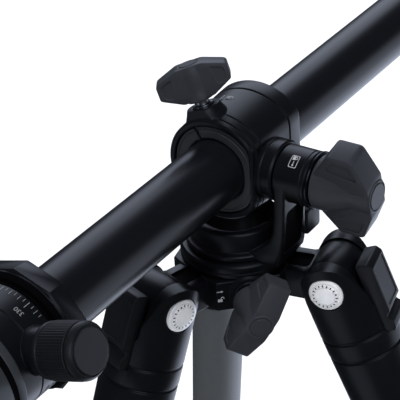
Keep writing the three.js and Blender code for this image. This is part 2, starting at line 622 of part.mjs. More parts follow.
const CLAMP_FIXED = -PLATE_WIDTH / 2 - 3; // outer face of the fixed jaw
const JAW_FACE = PLATE_WIDTH / 2 - DOVETAIL - 4;
const JAW_OUTER = JAW_FACE + JAW_DEPTH + 1;

function clampBody() {
  const half = CLAMP_WIDTH / 2;
  const body = block([-half, CLAMP_FIXED, CLAMP_BOTTOM + 3], [half, JAW_FACE - RUN_GAP, DOVETAIL_TOP]);
  const neck = rod(CLAMP_NECK_RADIUS, CLAMP_BOTTOM, CLAMP_BOTTOM + 4, ROUND);
  const stem = rod(STEM_RADIUS + SEAT_GAP, CLAMP_BOTTOM - 1, STEM_END + SEAT_GAP, SMALL_ROUND);
  const rodBore = alongMinusY(rod(SCREW_RADIUS + RUN_GAP, -40, -8, 16)).translate(14, 0, CLAMP_FLOOR - 3.2);
  const vial = rod(VIAL_RADIUS + SEAT_GAP, DOVETAIL_TOP - 3.4, DOVETAIL_TOP + 1, 16);
  const shelf = block([-half, CLAMP_FIXED - 9, CLAMP_BOTTOM + 4], [-half + 14, CLAMP_FIXED + 1, DOVETAIL_TOP]);
  return shaped([body, neck, shelf], [stem, rodBore, platePrism(CLAMP_WIDTH + 9, SEAT_GAP),
    vial.translate(VIAL_PLACE[0], VIAL_PLACE[1], 0)]);
}

const VIAL_RADIUS = 4;
const VIAL_PLACE = [-CLAMP_WIDTH / 2 + 7, CLAMP_FIXED - 4];

function clampJaw() {
  const half = CLAMP_WIDTH / 2;
  const body = block([-half, JAW_FACE, CLAMP_BOTTOM + 3], [half, JAW_OUTER, DOVETAIL_TOP]);
  const bore = alongMinusY(rod(SCREW_RADIUS + RUN_GAP, -60, 0, 16)).translate(14, 0, CLAMP_FLOOR - 3.2);
  return shaped([body], [platePrism(CLAMP_WIDTH + 9, SEAT_GAP), bore]);
}

function clampKnob() {
  const base = JAW_OUTER + RUN_GAP;
  const knob = turned([[0, JAW_FACE - 3.4], [SCREW_RADIUS, JAW_FACE - 3.4], [SCREW_RADIUS, base],
    [CLAMP_KNOB_RADIUS, base], [CLAMP_KNOB_RADIUS, base + CLAMP_KNOB_LENGTH - 1],
    [CLAMP_KNOB_RADIUS - 1, base + CLAMP_KNOB_LENGTH], [0, base + CLAMP_KNOB_LENGTH]], SMALL_ROUND);
  return alongMinusY(knob).rotateZ(Math.PI).translate(14, 0, CLAMP_FLOOR - 3.2);
}

const PLATE_TOP = CLAMP_FLOOR + RUN_GAP + PLATE_HEIGHT;

function releasePlate() {
  const bore = rod(CAMERA_SCREW_RADIUS + RUN_GAP, 0, 200, 16);
  const head = rod(8 + RUN_GAP, CLAMP_FLOOR - 1, PLATE_TOP - 3, SMALL_ROUND);
  return shaped([platePrism(PLATE_LENGTH, 0)], [bore, head]);
}

function platePad() {
  const half = PLATE_LENGTH / 2 - 1;
  const side = PLATE_WIDTH / 2 - 1;
  const pad = block([-half, -side, PLATE_TOP + SEAT_GAP], [half, side, PLATE_TOP + SEAT_GAP + PAD_HEIGHT]);
  return shaped([pad], [rod(CAMERA_SCREW_RADIUS + 2, 0, 200, SMALL_ROUND)]);
}

function cameraScrew() {
  const top = PLATE_TOP + SEAT_GAP + PAD_HEIGHT + CAMERA_SCREW_RISE;
  const low = CLAMP_FLOOR + 2 * RUN_GAP + 0.6;
  return turned([[0, low], [8, low], [8, PLATE_TOP - 3 - RUN_GAP], [CAMERA_SCREW_RADIUS, PLATE_TOP - 3 - RUN_GAP],
    [CAMERA_SCREW_RADIUS, top - 0.6], [CAMERA_SCREW_RADIUS - 0.6, top], [0, top]], 20);
}

function ballHead() {
  const stepRing = turned([[STUD_RADIUS + SEAT_GAP, STEP_RING_BOTTOM], [FLANGE_FLARE - 1.8, STEP_RING_BOTTOM],
    [BASE_RADIUS + 0.2, STEP_RING_TOP], [STUD_RADIUS + SEAT_GAP, STEP_RING_TOP],
    [STUD_RADIUS + SEAT_GAP, STEP_RING_BOTTOM]]);
  const stud = rod(STUD_RADIUS, -PLUG_LENGTH + 2, BASE_TOP - 2, 16);
  const panKnob = radialKnob(HEAD_KNOB_RADIUS, HEAD_KNOB_LENGTH, HEAD_KNOB_BASE, BASE_RADIUS - 7,
    HEAD_KNOB_PLACE, HEAD_KNOB_TURN);
  const ballKnob = radialKnob(BALL_KNOB_RADIUS, BALL_KNOB_LENGTH, HOUSING_RADIUS + 3 + RUN_GAP,
    SOCKET_RADIUS + 1, BALL_KNOB_PLACE, BALL_KNOB_TURN);
  const vial = rod(VIAL_RADIUS, DOVETAIL_TOP - 3, DOVETAIL_TOP, 16).translate(VIAL_PLACE[0], VIAL_PLACE[1], 0);
  const head = group(
    node("head_flange", headFlange(), "satin"),
    node("head_mount_stud", stud, "steel"),
    node("head_step_ring", stepRing, "plastic"),
    node("head_base", headBase(), "satin"),
    node("head_pan_knob", panKnob, "satin"),
    node("head_housing", headHousing(), "grey"),
    node("head_ball", headBall(), "steel"),
    node("ball_lock_knob", ballKnob, "satin"),
    node("clamp_body", clampBody(), "satin"),
    node("clamp_jaw", clampJaw(), "satin"),
    node("clamp_knob", clampKnob(), "satin"),
    node("quick_release_plate", releasePlate(), "grey"),
    node("plate_pad", platePad(), "rubber"),
    node("camera_screw", cameraScrew(), "steel"),
    node("bubble_level", vial, "vial"),
  );
  head.rotation.y = -Math.PI / 2;
  head.position.set(-COLUMN_HEAD_END, 0, COLUMN_HEIGHT);
  return head;
}

// ---- legs, built about Z with the hinge at the origin and the leg running down -------------
/** What is cut from one side of the leg top, so that it narrows to the round ears. */
function earCorner(sign) {
  const shoulder = new THREE.Vector2(CASTING_RADIUS, -EAR_TAPER);
  const start = shoulder.angle() - 2 * Math.PI + Math.acos(EAR_RADIUS / shoulder.length());
  const steps = 6;
  const outline = [[40, 40], [40, -EAR_TAPER], [CASTING_RADIUS, -EAR_TAPER]];
  for (let i = 0; i <= steps; i++) {
    const angle = start + ((Math.PI / 2 - start) * i) / steps;
    outline.push([EAR_RADIUS * Math.cos(angle), EAR_RADIUS * Math.sin(angle)]);
  }
  outline.push([0, 40]);
  return slab(outline.map(([x, z]) => [sign * x, z]), 80).rotateX(Math.PI / 2);
}

function legCasting() {
  const body = rod(CASTING_RADIUS, -CASTING_END, EAR_RADIUS, ROUND);
  const halfSlot = ARM_WIDTH / 2 + RUN_GAP;
  const fork = block([-40, -halfSlot, -FORK_DEPTH], [40, halfSlot, 40]);
  const bore = rod(TUBE_RADII[0] + SEAT_GAP, -CASTING_END - 1, -TUBE_STARTS[0] + 1, ROUND);
  const pin = rod(PIN_RADIUS + RUN_GAP, -60, 60, 16).rotateX(Math.PI / 2);
  const seats = [-1, 1].map((sign) => rod(CAP_RADIUS + RUN_GAP, EAR_FACE - 1.6, EAR_FACE + 9, SMALL_ROUND)
    .rotateX((sign * Math.PI) / 2));
  const tabHalf = TAB_HALF_WIDTH + RUN_GAP;
  const tabRoom = block([TAB_FACE - TAB_THICKNESS - RUN_GAP, -tabHalf, -TAB_END - RUN_GAP], [40, tabHalf, 40]);
  return shaped([body], [earCorner(-1), earCorner(1), fork, bore, pin, ...seats, tabRoom]);
}

function hingePin() {
  const face = EAR_FACE - 1.6 + SEAT_GAP;
  const dome = [0, 30, 60, 90].map((angle) => [CAP_RADIUS * Math.cos(radians(angle)),
    face + 0.8 + CAP_RISE * Math.sin(radians(angle))]);
  const half = [[PIN_RADIUS, face], [CAP_RADIUS, face], ...dome.slice(0, 3), [0, dome[3][1]]];
  const mirrored = half.map(([radius, height]) => [radius, -height]).reverse();
  return turned([...mirrored, ...half], SMALL_ROUND).rotateX(Math.PI / 2);
}

function angleTab() {
  const inner = TAB_FACE - TAB_THICKNESS;
  const outline = [[inner, -TAB_END], [TAB_FACE, -TAB_END], [TAB_FACE, -TAB_TOP - 5], [TAB_FACE - 3, -TAB_TOP],
    [inner, -TAB_TOP]];
  return slab(outline, 2 * TAB_HALF_WIDTH).rotateX(Math.PI / 2);
}

function legTube(index) {
  const radius = TUBE_RADII[index];
  return tube(radius, radius - TUBE_WALL, -TUBE_ENDS[index], -TUBE_STARTS[index], SMALL_ROUND);
}

function twistLock(index) {
  const outer = LOCK_RADII[index];
  const top = -TUBE_ENDS[index] + LOCK_OVERLAP;
  const bottom = top - LOCK_LENGTH;
  const seat = -TUBE_ENDS[index] - SEAT_GAP;
  const wide = TUBE_RADII[index] + RUN_GAP;
  const narrow = TUBE_RADII[index + 1] + RUN_GAP;
  return turned([[narrow, bottom], [outer - 1, bottom], [outer, bottom + 1], [outer, top - 1], [outer - 1, top],
    [wide, top], [wide, seat], [narrow, seat], [narrow, bottom]], SMALL_ROUND);
}

function rubberFoot() {
  const index = TUBE_RADII.length - 1;
  const last = TUBE_RADII[index];
  const lockBottom = -TUBE_ENDS[index - 1] + LOCK_OVERLAP - LOCK_LENGTH;
  const top = lockBottom - 2 * RUN_GAP;
  const centre = top - FOOT_LENGTH + FOOT_RADIUS;
  const seat = -TUBE_ENDS[index] - SEAT_GAP;
  const ball = [0, 22.5, 45, 67.5, 90].map((angle) => [FOOT_RADIUS * Math.sin(radians(angle)),
    centre - FOOT_RADIUS * Math.cos(radians(angle))]);
  return turned([...ball, [last + 2, top], [last + RUN_GAP, top], [last + RUN_GAP, seat], [0, seat]], SMALL_ROUND);
}

function leg(number, azimuth) {
  const name = (piece) => `leg_${number}_${piece}`;
  const hinge = group(
    node(name("casting"), legCasting(), "satin"),
    node(name("hinge_pin"), hingePin(), "chrome"),
    node(name("angle_tab"), angleTab(), "plastic"),
    node(name("upper_tube"), legTube(0), "grey"),
    node(name("upper_lock"), twistLock(0), "rubber"),
    node(name("middle_tube"), legTube(1), "grey"),
    node(name("lower_lock"), twistLock(1), "rubber"),
    node(name("lower_tube"), legTube(2), "grey"),
    node(name("foot"), rubberFoot(), "rubber"),
  );
  hinge.rotation.y = -radians(LEG_SPREAD);
  hinge.position.set(HINGE_RADIUS, 0, HINGE_HEIGHT);
  const placed = group(hinge);
  placed.rotation.z = radians(azimuth);
  return placed;
}

// ---- whole tripod ---------------------------------------------------------------------------
function tripod() {
  const legs = LEG_AZIMUTHS.map((azimuth, i) => leg(i + 1, azimuth));
  const whole = group(shoulder(), panClamp(), swivel(), collar(), tiltClamp(), columnClamp(), centreColumn(),
    ballHead(), ...legs);
  const box = new THREE.Box3().setFromObject(whole, true);
  const middle = box.getCenter(new THREE.Vector3());
  whole.position.set(-middle.x, -middle.y, -box.min.z);
  return group(whole);
}

export default tripod();
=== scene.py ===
"""Looks of a camera tripod whose centre column is swung level on a side bracket, with a ball head.

Lengths inside the classes are millimetres in the shoulder's frame: the shoulder axis is Z, the hub's
underside is z = 0, the level column runs along X and its head end points to -X.
"""

import logging
import math
from collections.abc import Callable, Sequence
from dataclasses import dataclass, field
from enum import Enum

import bmesh
import bpy
from mathutils import Matrix, Vector


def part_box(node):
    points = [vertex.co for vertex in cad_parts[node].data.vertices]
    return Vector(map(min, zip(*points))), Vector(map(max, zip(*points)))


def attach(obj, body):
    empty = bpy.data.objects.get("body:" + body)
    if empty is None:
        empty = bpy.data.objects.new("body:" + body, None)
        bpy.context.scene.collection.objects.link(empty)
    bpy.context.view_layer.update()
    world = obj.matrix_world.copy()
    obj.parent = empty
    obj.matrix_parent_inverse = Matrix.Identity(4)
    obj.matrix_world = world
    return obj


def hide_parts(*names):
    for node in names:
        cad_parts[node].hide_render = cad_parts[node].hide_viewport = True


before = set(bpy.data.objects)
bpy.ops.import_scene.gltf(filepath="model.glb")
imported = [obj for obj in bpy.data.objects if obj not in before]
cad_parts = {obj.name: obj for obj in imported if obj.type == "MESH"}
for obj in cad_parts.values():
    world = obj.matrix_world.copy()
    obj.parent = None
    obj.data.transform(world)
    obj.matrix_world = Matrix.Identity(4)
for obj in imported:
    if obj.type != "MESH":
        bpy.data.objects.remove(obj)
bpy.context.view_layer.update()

LOG = logging.getLogger("tripod")
MM = 0.001
Point = tuple[float, float]
SIDES = 96


def spun(degrees: float, axis: str) -> Matrix:
    """Rotation about a frame axis."""
    return Matrix.Rotation(math.radians(degrees), 4, axis)


def moved(x: float, y: float, z: float) -> Matrix:
    """Translation."""
    return Matrix.Translation((x, y, z))


ALONG_X = spun(90, "Y")
ALONG_MINUS_Y = spun(90, "X")
COLUMN_HEIGHT = 61.7
COLUMN_FRAME = moved(0, 0, COLUMN_HEIGHT)
HEAD_FRAME = moved(-131.5, 0, COLUMN_HEIGHT) @ spun(-90, "Y")


def linked(name: str, data: object) -> bpy.types.Object:
    """A new object of this data, in the scene."""
    made = bpy.data.objects.new(name, data)
    bpy.context.collection.objects.link(made)
    return made


def principled(material: bpy.types.Material) -> bpy.types.ShaderNode:
    """The Principled shader of a material, which is given nodes."""
    material.use_nodes = True
    return next(node for node in material.node_tree.nodes if node.type == "BSDF_PRINCIPLED")


def ribbed(ribs: int, reach: Callable[[float], float]) -> list[Point]:
    """Outline of a ribbed barrel.

    Args:
        ribs: how many ribs go round.
        reach: the outline's radius for the cosine of the rib's phase.

    Returns:
        The outline, six points to a rib.
    """
    turns = [math.tau * i / (ribs * 6) for i in range(ribs * 6)]
    reaches = [reach(math.cos(ribs * turn)) for turn in turns]
    return [(far * math.cos(turn), far * math.sin(turn)) for far, turn in zip(reaches, turns)]


def outward(azimuth: float, height: float = 0.0) -> Matrix:
    """Frame whose Z points along a compass angle.

    Args:
        azimuth: degrees about the shoulder axis.
        height: height of the frame's origin.

    Returns:
        The frame as a matrix.
    """
    return moved(0, 0, height) @ spun(azimuth, "Z") @ spun(90, "Y")


def rounded(points: Sequence[Point], radius: float, steps: int = 3, closed: bool = False) -> list[Point]:
    """Rounds the corners of a flat outline.

    Args:
        points: the outline's corners.
        radius: how far from each corner its rounding starts.
        steps: points on each rounding, less one.
        closed: whether the outline closes on itself.

    Returns:
        The rounded outline.
    """
    count = len(points)
    result: list[Point] = []
    for i, point in enumerate(points):
        if not closed and i in (0, count - 1):
            result.append(point)
            continue
        here = Vector(point)
        before, after = Vector(points[i - 1]) - here, Vector(points[(i + 1) % count]) - here
        start = here + before.normalized() * min(radius, 0.45 * before.length)
        end = here + after.normalized() * min(radius, 0.45 * after.length)
        for step in range(steps + 1):
            t = step / steps
            spot = start * (1 - t) ** 2 + here * (2 * t * (1 - t)) + end * t * t
            result.append((spot.x, spot.y))
    return result


def panel(x0: float, x1: float, y0: float, y1: float, radius: float, steps: int = 4) -> list[Point]:
    """Outline of a rounded rectangle."""
    return rounded([(x0, y0), (x1, y0), (x1, y1), (x0, y1)], radius, steps, True)


def mirrored(half: Sequence[Point]) -> list[Point]:
    """Full outline from its half at positive x, listed from bottom to top."""
    return list(half) + [(-x, y) for x, y in reversed(half) if x > 1e-6]


class Form:
    """A closed shape being made, in millimetres."""

    def __init__(self) -> None:
        """Starts with nothing."""
        self.bm = bmesh.new()

    @classmethod
    def turned(cls, profile: Sequence[Point], steps: int = SIDES) -> "Form":
        """Turns a profile about Z.

        Args:
            profile: radius and height of each corner; a profile that misses the axis closes on itself.
            steps: sides of the turned form.

        Returns:
            The closed form.
        """
        form = cls()
        verts = [form.bm.verts.new((radius, 0.0, height)) for radius, height in profile]
        pairs = list(zip(verts, verts[1:]))
        if profile[0][0] > 1e-6 or profile[-1][0] > 1e-6:
            pairs.append((verts[-1], verts[0]))
        edges = [form.bm.edges.new(pair) for pair in pairs]
        bmesh.ops.spin(form.bm, geom=verts + edges, cent=(0, 0, 0), axis=(0, 0, 1), dvec=(0, 0, 0),
                       angle=math.tau, steps=steps, use_merge=True)
        return form.tidy()

    @classmethod
    def rod(cls, radius: float, low: float, high: float, edge: float = 0.0, steps: int = SIDES) -> "Form":
        """Round bar about Z, with its rims broken by edge."""
        if edge <= 0:
            return cls.turned([(0, low), (radius, low), (radius, high), (0, high)], steps)
        return cls.turned([(0, low), (radius - edge, low), (radius, low + edge), (radius, high - edge),
                           (radius - edge, high), (0, high)], steps)

    @classmethod
    def slab(cls, outline: Sequence[Point], low: float, high: float) -> "Form":
        """Flat outline in XY given a thickness along Z."""
        form = cls()
        verts = [form.bm.verts.new((x, y, low)) for x, y in outline]
        face = form.bm.faces.new(verts)
        made = bmesh.ops.extrude_face_region(form.bm, geom=[face])
        lifted = [item for item in made["geom"] if isinstance(item, bmesh.types.BMVert)]
        bmesh.ops.translate(form.bm, verts=lifted, vec=(0, 0, high - low))
        return form.tidy()

    @classmethod
    def block(cls, low: Sequence[float], high: Sequence[float]) -> "Form":
        """Box between two corners."""
        form = cls()
        bmesh.ops.create_cube(form.bm, size=1.0)
        size = [b - a for a, b in zip(low, high)]
        middle = [(a + b) / 2 for a, b in zip(low, high)]
        bmesh.ops.transform(form.bm, matrix=moved(*middle) @ Matrix.Diagonal((*size, 1)), verts=form.bm.verts)
        return form

    @classmethod
    def ball(cls, radius: float) -> "Form":
        """Sphere about the origin."""
        form = cls()
        bmesh.ops.create_uvsphere(form.bm, u_segments=64, v_segments=40, radius=radius)
        return form

    @classmethod
    def lofted(cls, rings: Sequence[Sequence[Sequence[float]]]) -> "Form":
        """Skin over rings of equal count, closed at both ends."""
        form = cls()
        loops = []
        for ring in rings:
            verts = [form.bm.verts.new(point) for point in ring]
            loops.append([form.bm.edges.new(pair) for pair in zip(verts, verts[1:] + verts[:1])])
        for lower, upper in zip(loops, loops[1:]):
            bmesh.ops.bridge_loops(form.bm, edges=lower + upper)
        for loop in (loops[0], loops[-1]):
            bmesh.ops.contextual_create(form.bm, geom=loop)
        return form.tidy()

    @classmethod
    def swept(cls, curve: bpy.types.Curve) -> "Form":
        """The solid of a curve or text, which is then removed."""
        made = linked(curve.name, curve)
        graph = bpy.context.evaluated_depsgraph_get()
        mesh = bpy.data.meshes.new_from_object(made.evaluated_get(graph))
        form = cls()
        form.bm.from_mesh(mesh)
        bpy.data.objects.remove(made)
        bpy.data.curves.remove(curve)
        bpy.data.meshes.remove(mesh)
        return form

    def tidy(self) -> "Form":
        """Merges doubled corners and turns the faces outwards."""
        bmesh.ops.remove_doubles(self.bm, verts=self.bm.verts, dist=1e-4)
        bmesh.ops.dissolve_degenerate(self.bm, edges=self.bm.edges, dist=1e-4)
        bmesh.ops.recalc_face_normals(self.bm, faces=self.bm.faces)
        return self

    def bevel(self, width: float, segments: int = 2, over: float = 40.0) -> "Form":
        """Rounds every edge sharper than an angle."""
        limit = math.radians(over)
        edges = [edge for edge in self.bm.edges if len(edge.link_faces) == 2
                 and edge.calc_face_angle(0) > limit]
        bmesh.ops.bevel(self.bm, geom=edges, offset=width, offset_type="OFFSET", segments=segments,
                        profile=0.5, affect="EDGES", clamp_overlap=True, material=-1)
        return self.tidy()

    def place(self, matrix: Matrix) -> "Form":
        """Moves the form by a matrix."""
        bmesh.ops.transform(self.bm, matrix=matrix, verts=self.bm.verts)
        return self

    def warp(self, shift: Callable[[Vector], Vector]) -> "Form":
        """Moves each corner to where shift sends it."""
        for vert in self.bm.verts:
            vert.co = shift(vert.co.copy())
        bmesh.ops.recalc_face_normals(self.bm, faces=self.bm.faces)
        return self

    def paint(self, slot: int, chosen: Callable[[Vector, Vector], bool] | None = None) -> "Form":
        """Gives faces a finish number, all of them or those whose centre and normal are chosen."""
        for face in self.bm.faces:
            if chosen is None or chosen(face.calc_center_median(), face.normal):
                face.material_index = slot
        return self

    def copy(self, matrix: Matrix | None = None) -> "Form":
        """A copy of the form, moved by a matrix."""
        twin = Form()
        twin.bm = self.bm.copy()
        return twin.place(matrix) if matrix is not None else twin

    def join(self, *others: "Form") -> "Form":
        """Adds other shells to this one as they are."""
        for other in others:
            mesh = bpy.data.meshes.new("joined")
            other.bm.to_mesh(mesh)
            self.bm.from_mesh(mesh)
            bpy.data.meshes.remove(mesh)
        return self

    def cut(self, *tools: "Form") -> "Form":
        """Cuts other forms away from this one."""
        for tool in tools:
            self._combine(tool, "DIFFERENCE")
        return self

    def intersect(self, other: "Form") -> "Form":
        """Keeps what lies inside another form."""
        self._combine(other, "INTERSECT")
        return self

    def fuse(self, *others: "Form") -> "Form":
        """Merges other forms into this one."""
        for other in others:
            self._combine(other, "UNION")
        return self

    def _combine(self, other: "Form", operation: str) -> None:
        """Joins or cuts with an exact boolean."""
        pair = []
        for form in (self, other):
            mesh = bpy.data.meshes.new("operand")
            form.bm.to_mesh(mesh)
            pair.append(linked("operand", mesh))
        modifier = pair[0].modifiers.new("combine", "BOOLEAN")
        modifier.object, modifier.operation, modifier.solver = pair[1], operation, "EXACT"
        graph = bpy.context.evaluated_depsgraph_get()
        result = bpy.data.meshes.new_from_object(pair[0].evaluated_get(graph))
        self.bm.free()
        self.bm = bmesh.new()
        self.bm.from_mesh(result)
        bpy.data.meshes.remove(result)
        for made in pair:
            mesh = made.data
            bpy.data.objects.remove(made)
            bpy.data.meshes.remove(mesh)
        bmesh.ops.remove_doubles(self.bm, verts=self.bm.verts, dist=1e-4)


# ---- finishes -------------------------------------------------------------------------------
class Relief(Enum):
    """What a finish's surface is made of."""

    CAST = "cast"
    DRAWN = "drawn"
    MOULDED = "moulded"
    TURNED = "turned"
    PLAIN = "plain"


@dataclass(frozen=True)
class Finish:
    """One surface finish.

    Args:
        name: the finish's name.
        colour: base colour, linear.
        worn: colour of its rubbed edges.
        metallic: how metallic it is.
        roughness: its middle roughness.
        relief: what its fine relief is.
        depth: height of the relief in millimetres.
        pitch: size of the relief's grain in millimetres.
        wear: how much its edges are rubbed.
        coat: clear coat weight.
        edge: radius in millimetres to which its edges look rounded.
        spread: how far its roughness wanders.
        gloss: how strongly it reflects at a right angle.
    """

    name: str
    colour: tuple[float, float, float]
    worn: tuple[float, float, float]
    metallic: float = 0.0
    roughness: float = 0.4
    relief: Relief = Relief.CAST
    depth: float = 0.01
    pitch: float = 0.35
    wear: float = 0.35
    coat: float = 0.0
    edge: float = 0.35
    spread: float = 0.06
    gloss: float = 0.5


SATIN = Finish("satin_black_casting", (0.0032, 0.0036, 0.0048), (0.030, 0.033, 0.041), 0.0, 0.33, wear=0.3,
               gloss=0.42)
KNOB = Finish("satin_black_knob", (0.0250, 0.0272, 0.0328), (0.062, 0.067, 0.078), 0.0, 0.44, edge=0.45,
              gloss=0.5)
# Near-black finish with almost no gloss: painted shade in pockets, grooves, slots, flutes and recesses, where
# light hardly reaches; it is also the vial's dark printed ring.
SHADE_AND_PRINT_BLACK = Finish("painted_shade_and_print_black", (0.0015, 0.0015, 0.002), (0.01, 0.01, 0.011), 0.0, 0.75, wear=0.1, gloss=0.06)
COLUMN = Finish("satin_black_tube", (0.0042, 0.0045, 0.0060), (0.03, 0.03, 0.035), 0.0, 0.30, Relief.DRAWN,
                0.004, 0.30, 0.2, gloss=0.45)
LEG_GREY = Finish("grey_anodised_tube", (0.102, 0.110, 0.114), (0.19, 0.20, 0.205), 0.20, 0.40,
                  Relief.DRAWN, 0.003, 0.30, 0.25)
GREY = Finish("grey_alloy", (0.050, 0.055, 0.061), (0.16, 0.165, 0.17), 0.45, 0.34)
PLASTIC = Finish("moulded_black_plastic", (0.0060, 0.0065, 0.0080), (0.030, 0.032, 0.038), 0.0, 0.40,
                 Relief.MOULDED, 0.02, 0.5, 0.3)
SLEEVE = Finish("moulded_grey_plastic", (0.022, 0.024, 0.027), (0.06, 0.062, 0.066), 0.0, 0.48,
                Relief.MOULDED, 0.015, 0.45, 0.3)
RUBBER = Finish("black_rubber", (0.010, 0.010, 0.011), (0.03, 0.03, 0.03), 0.0, 0.72, Relief.MOULDED, 0.03,
                0.6, 0.3)
# Chrome with a near-white, mostly diffuse base: painted reflection that keeps the caps bright under any
# light.
CHROME_WITH_PAINTED_GLARE = Finish("chrome_with_painted_reflection", (0.94, 0.94, 0.94), (0.95, 0.95, 0.95), 0.28, 0.14, Relief.TURNED, 0.001,
                0.2, 0.2)
STEEL = Finish("turned_steel", (0.40, 0.41, 0.42), (0.6, 0.6, 0.6), 1.0, 0.28, Relief.TURNED, 0.003, 0.2, 0.3)
BRIGHT = Finish("dark_bright_rim", (0.06, 0.062, 0.07), (0.35, 0.35, 0.37), 1.0, 0.26, Relief.TURNED, 0.002,
                0.2, 0.5)
INK = Finish("white_ink", (0.36, 0.37, 0.39), (0.4, 0.4, 0.4), 0.0, 0.55, Relief.PLAIN, 0.002, 0.2, 0.0,
             edge=0.0)
SCALE_INK = Finish("grey_scale_ink", (0.20, 0.205, 0.22), (0.2, 0.2, 0.2), 0.0, 0.55, Relief.PLAIN, 0.002,
                   0.2, 0.0, edge=0.0)
VIAL = Finish("green_vial", (0.55, 0.78, 0.12), (0.5, 0.7, 0.1), 0.0, 0.06, Relief.PLAIN, 0.0, 0.2, 0.0,
              coat=1.0)


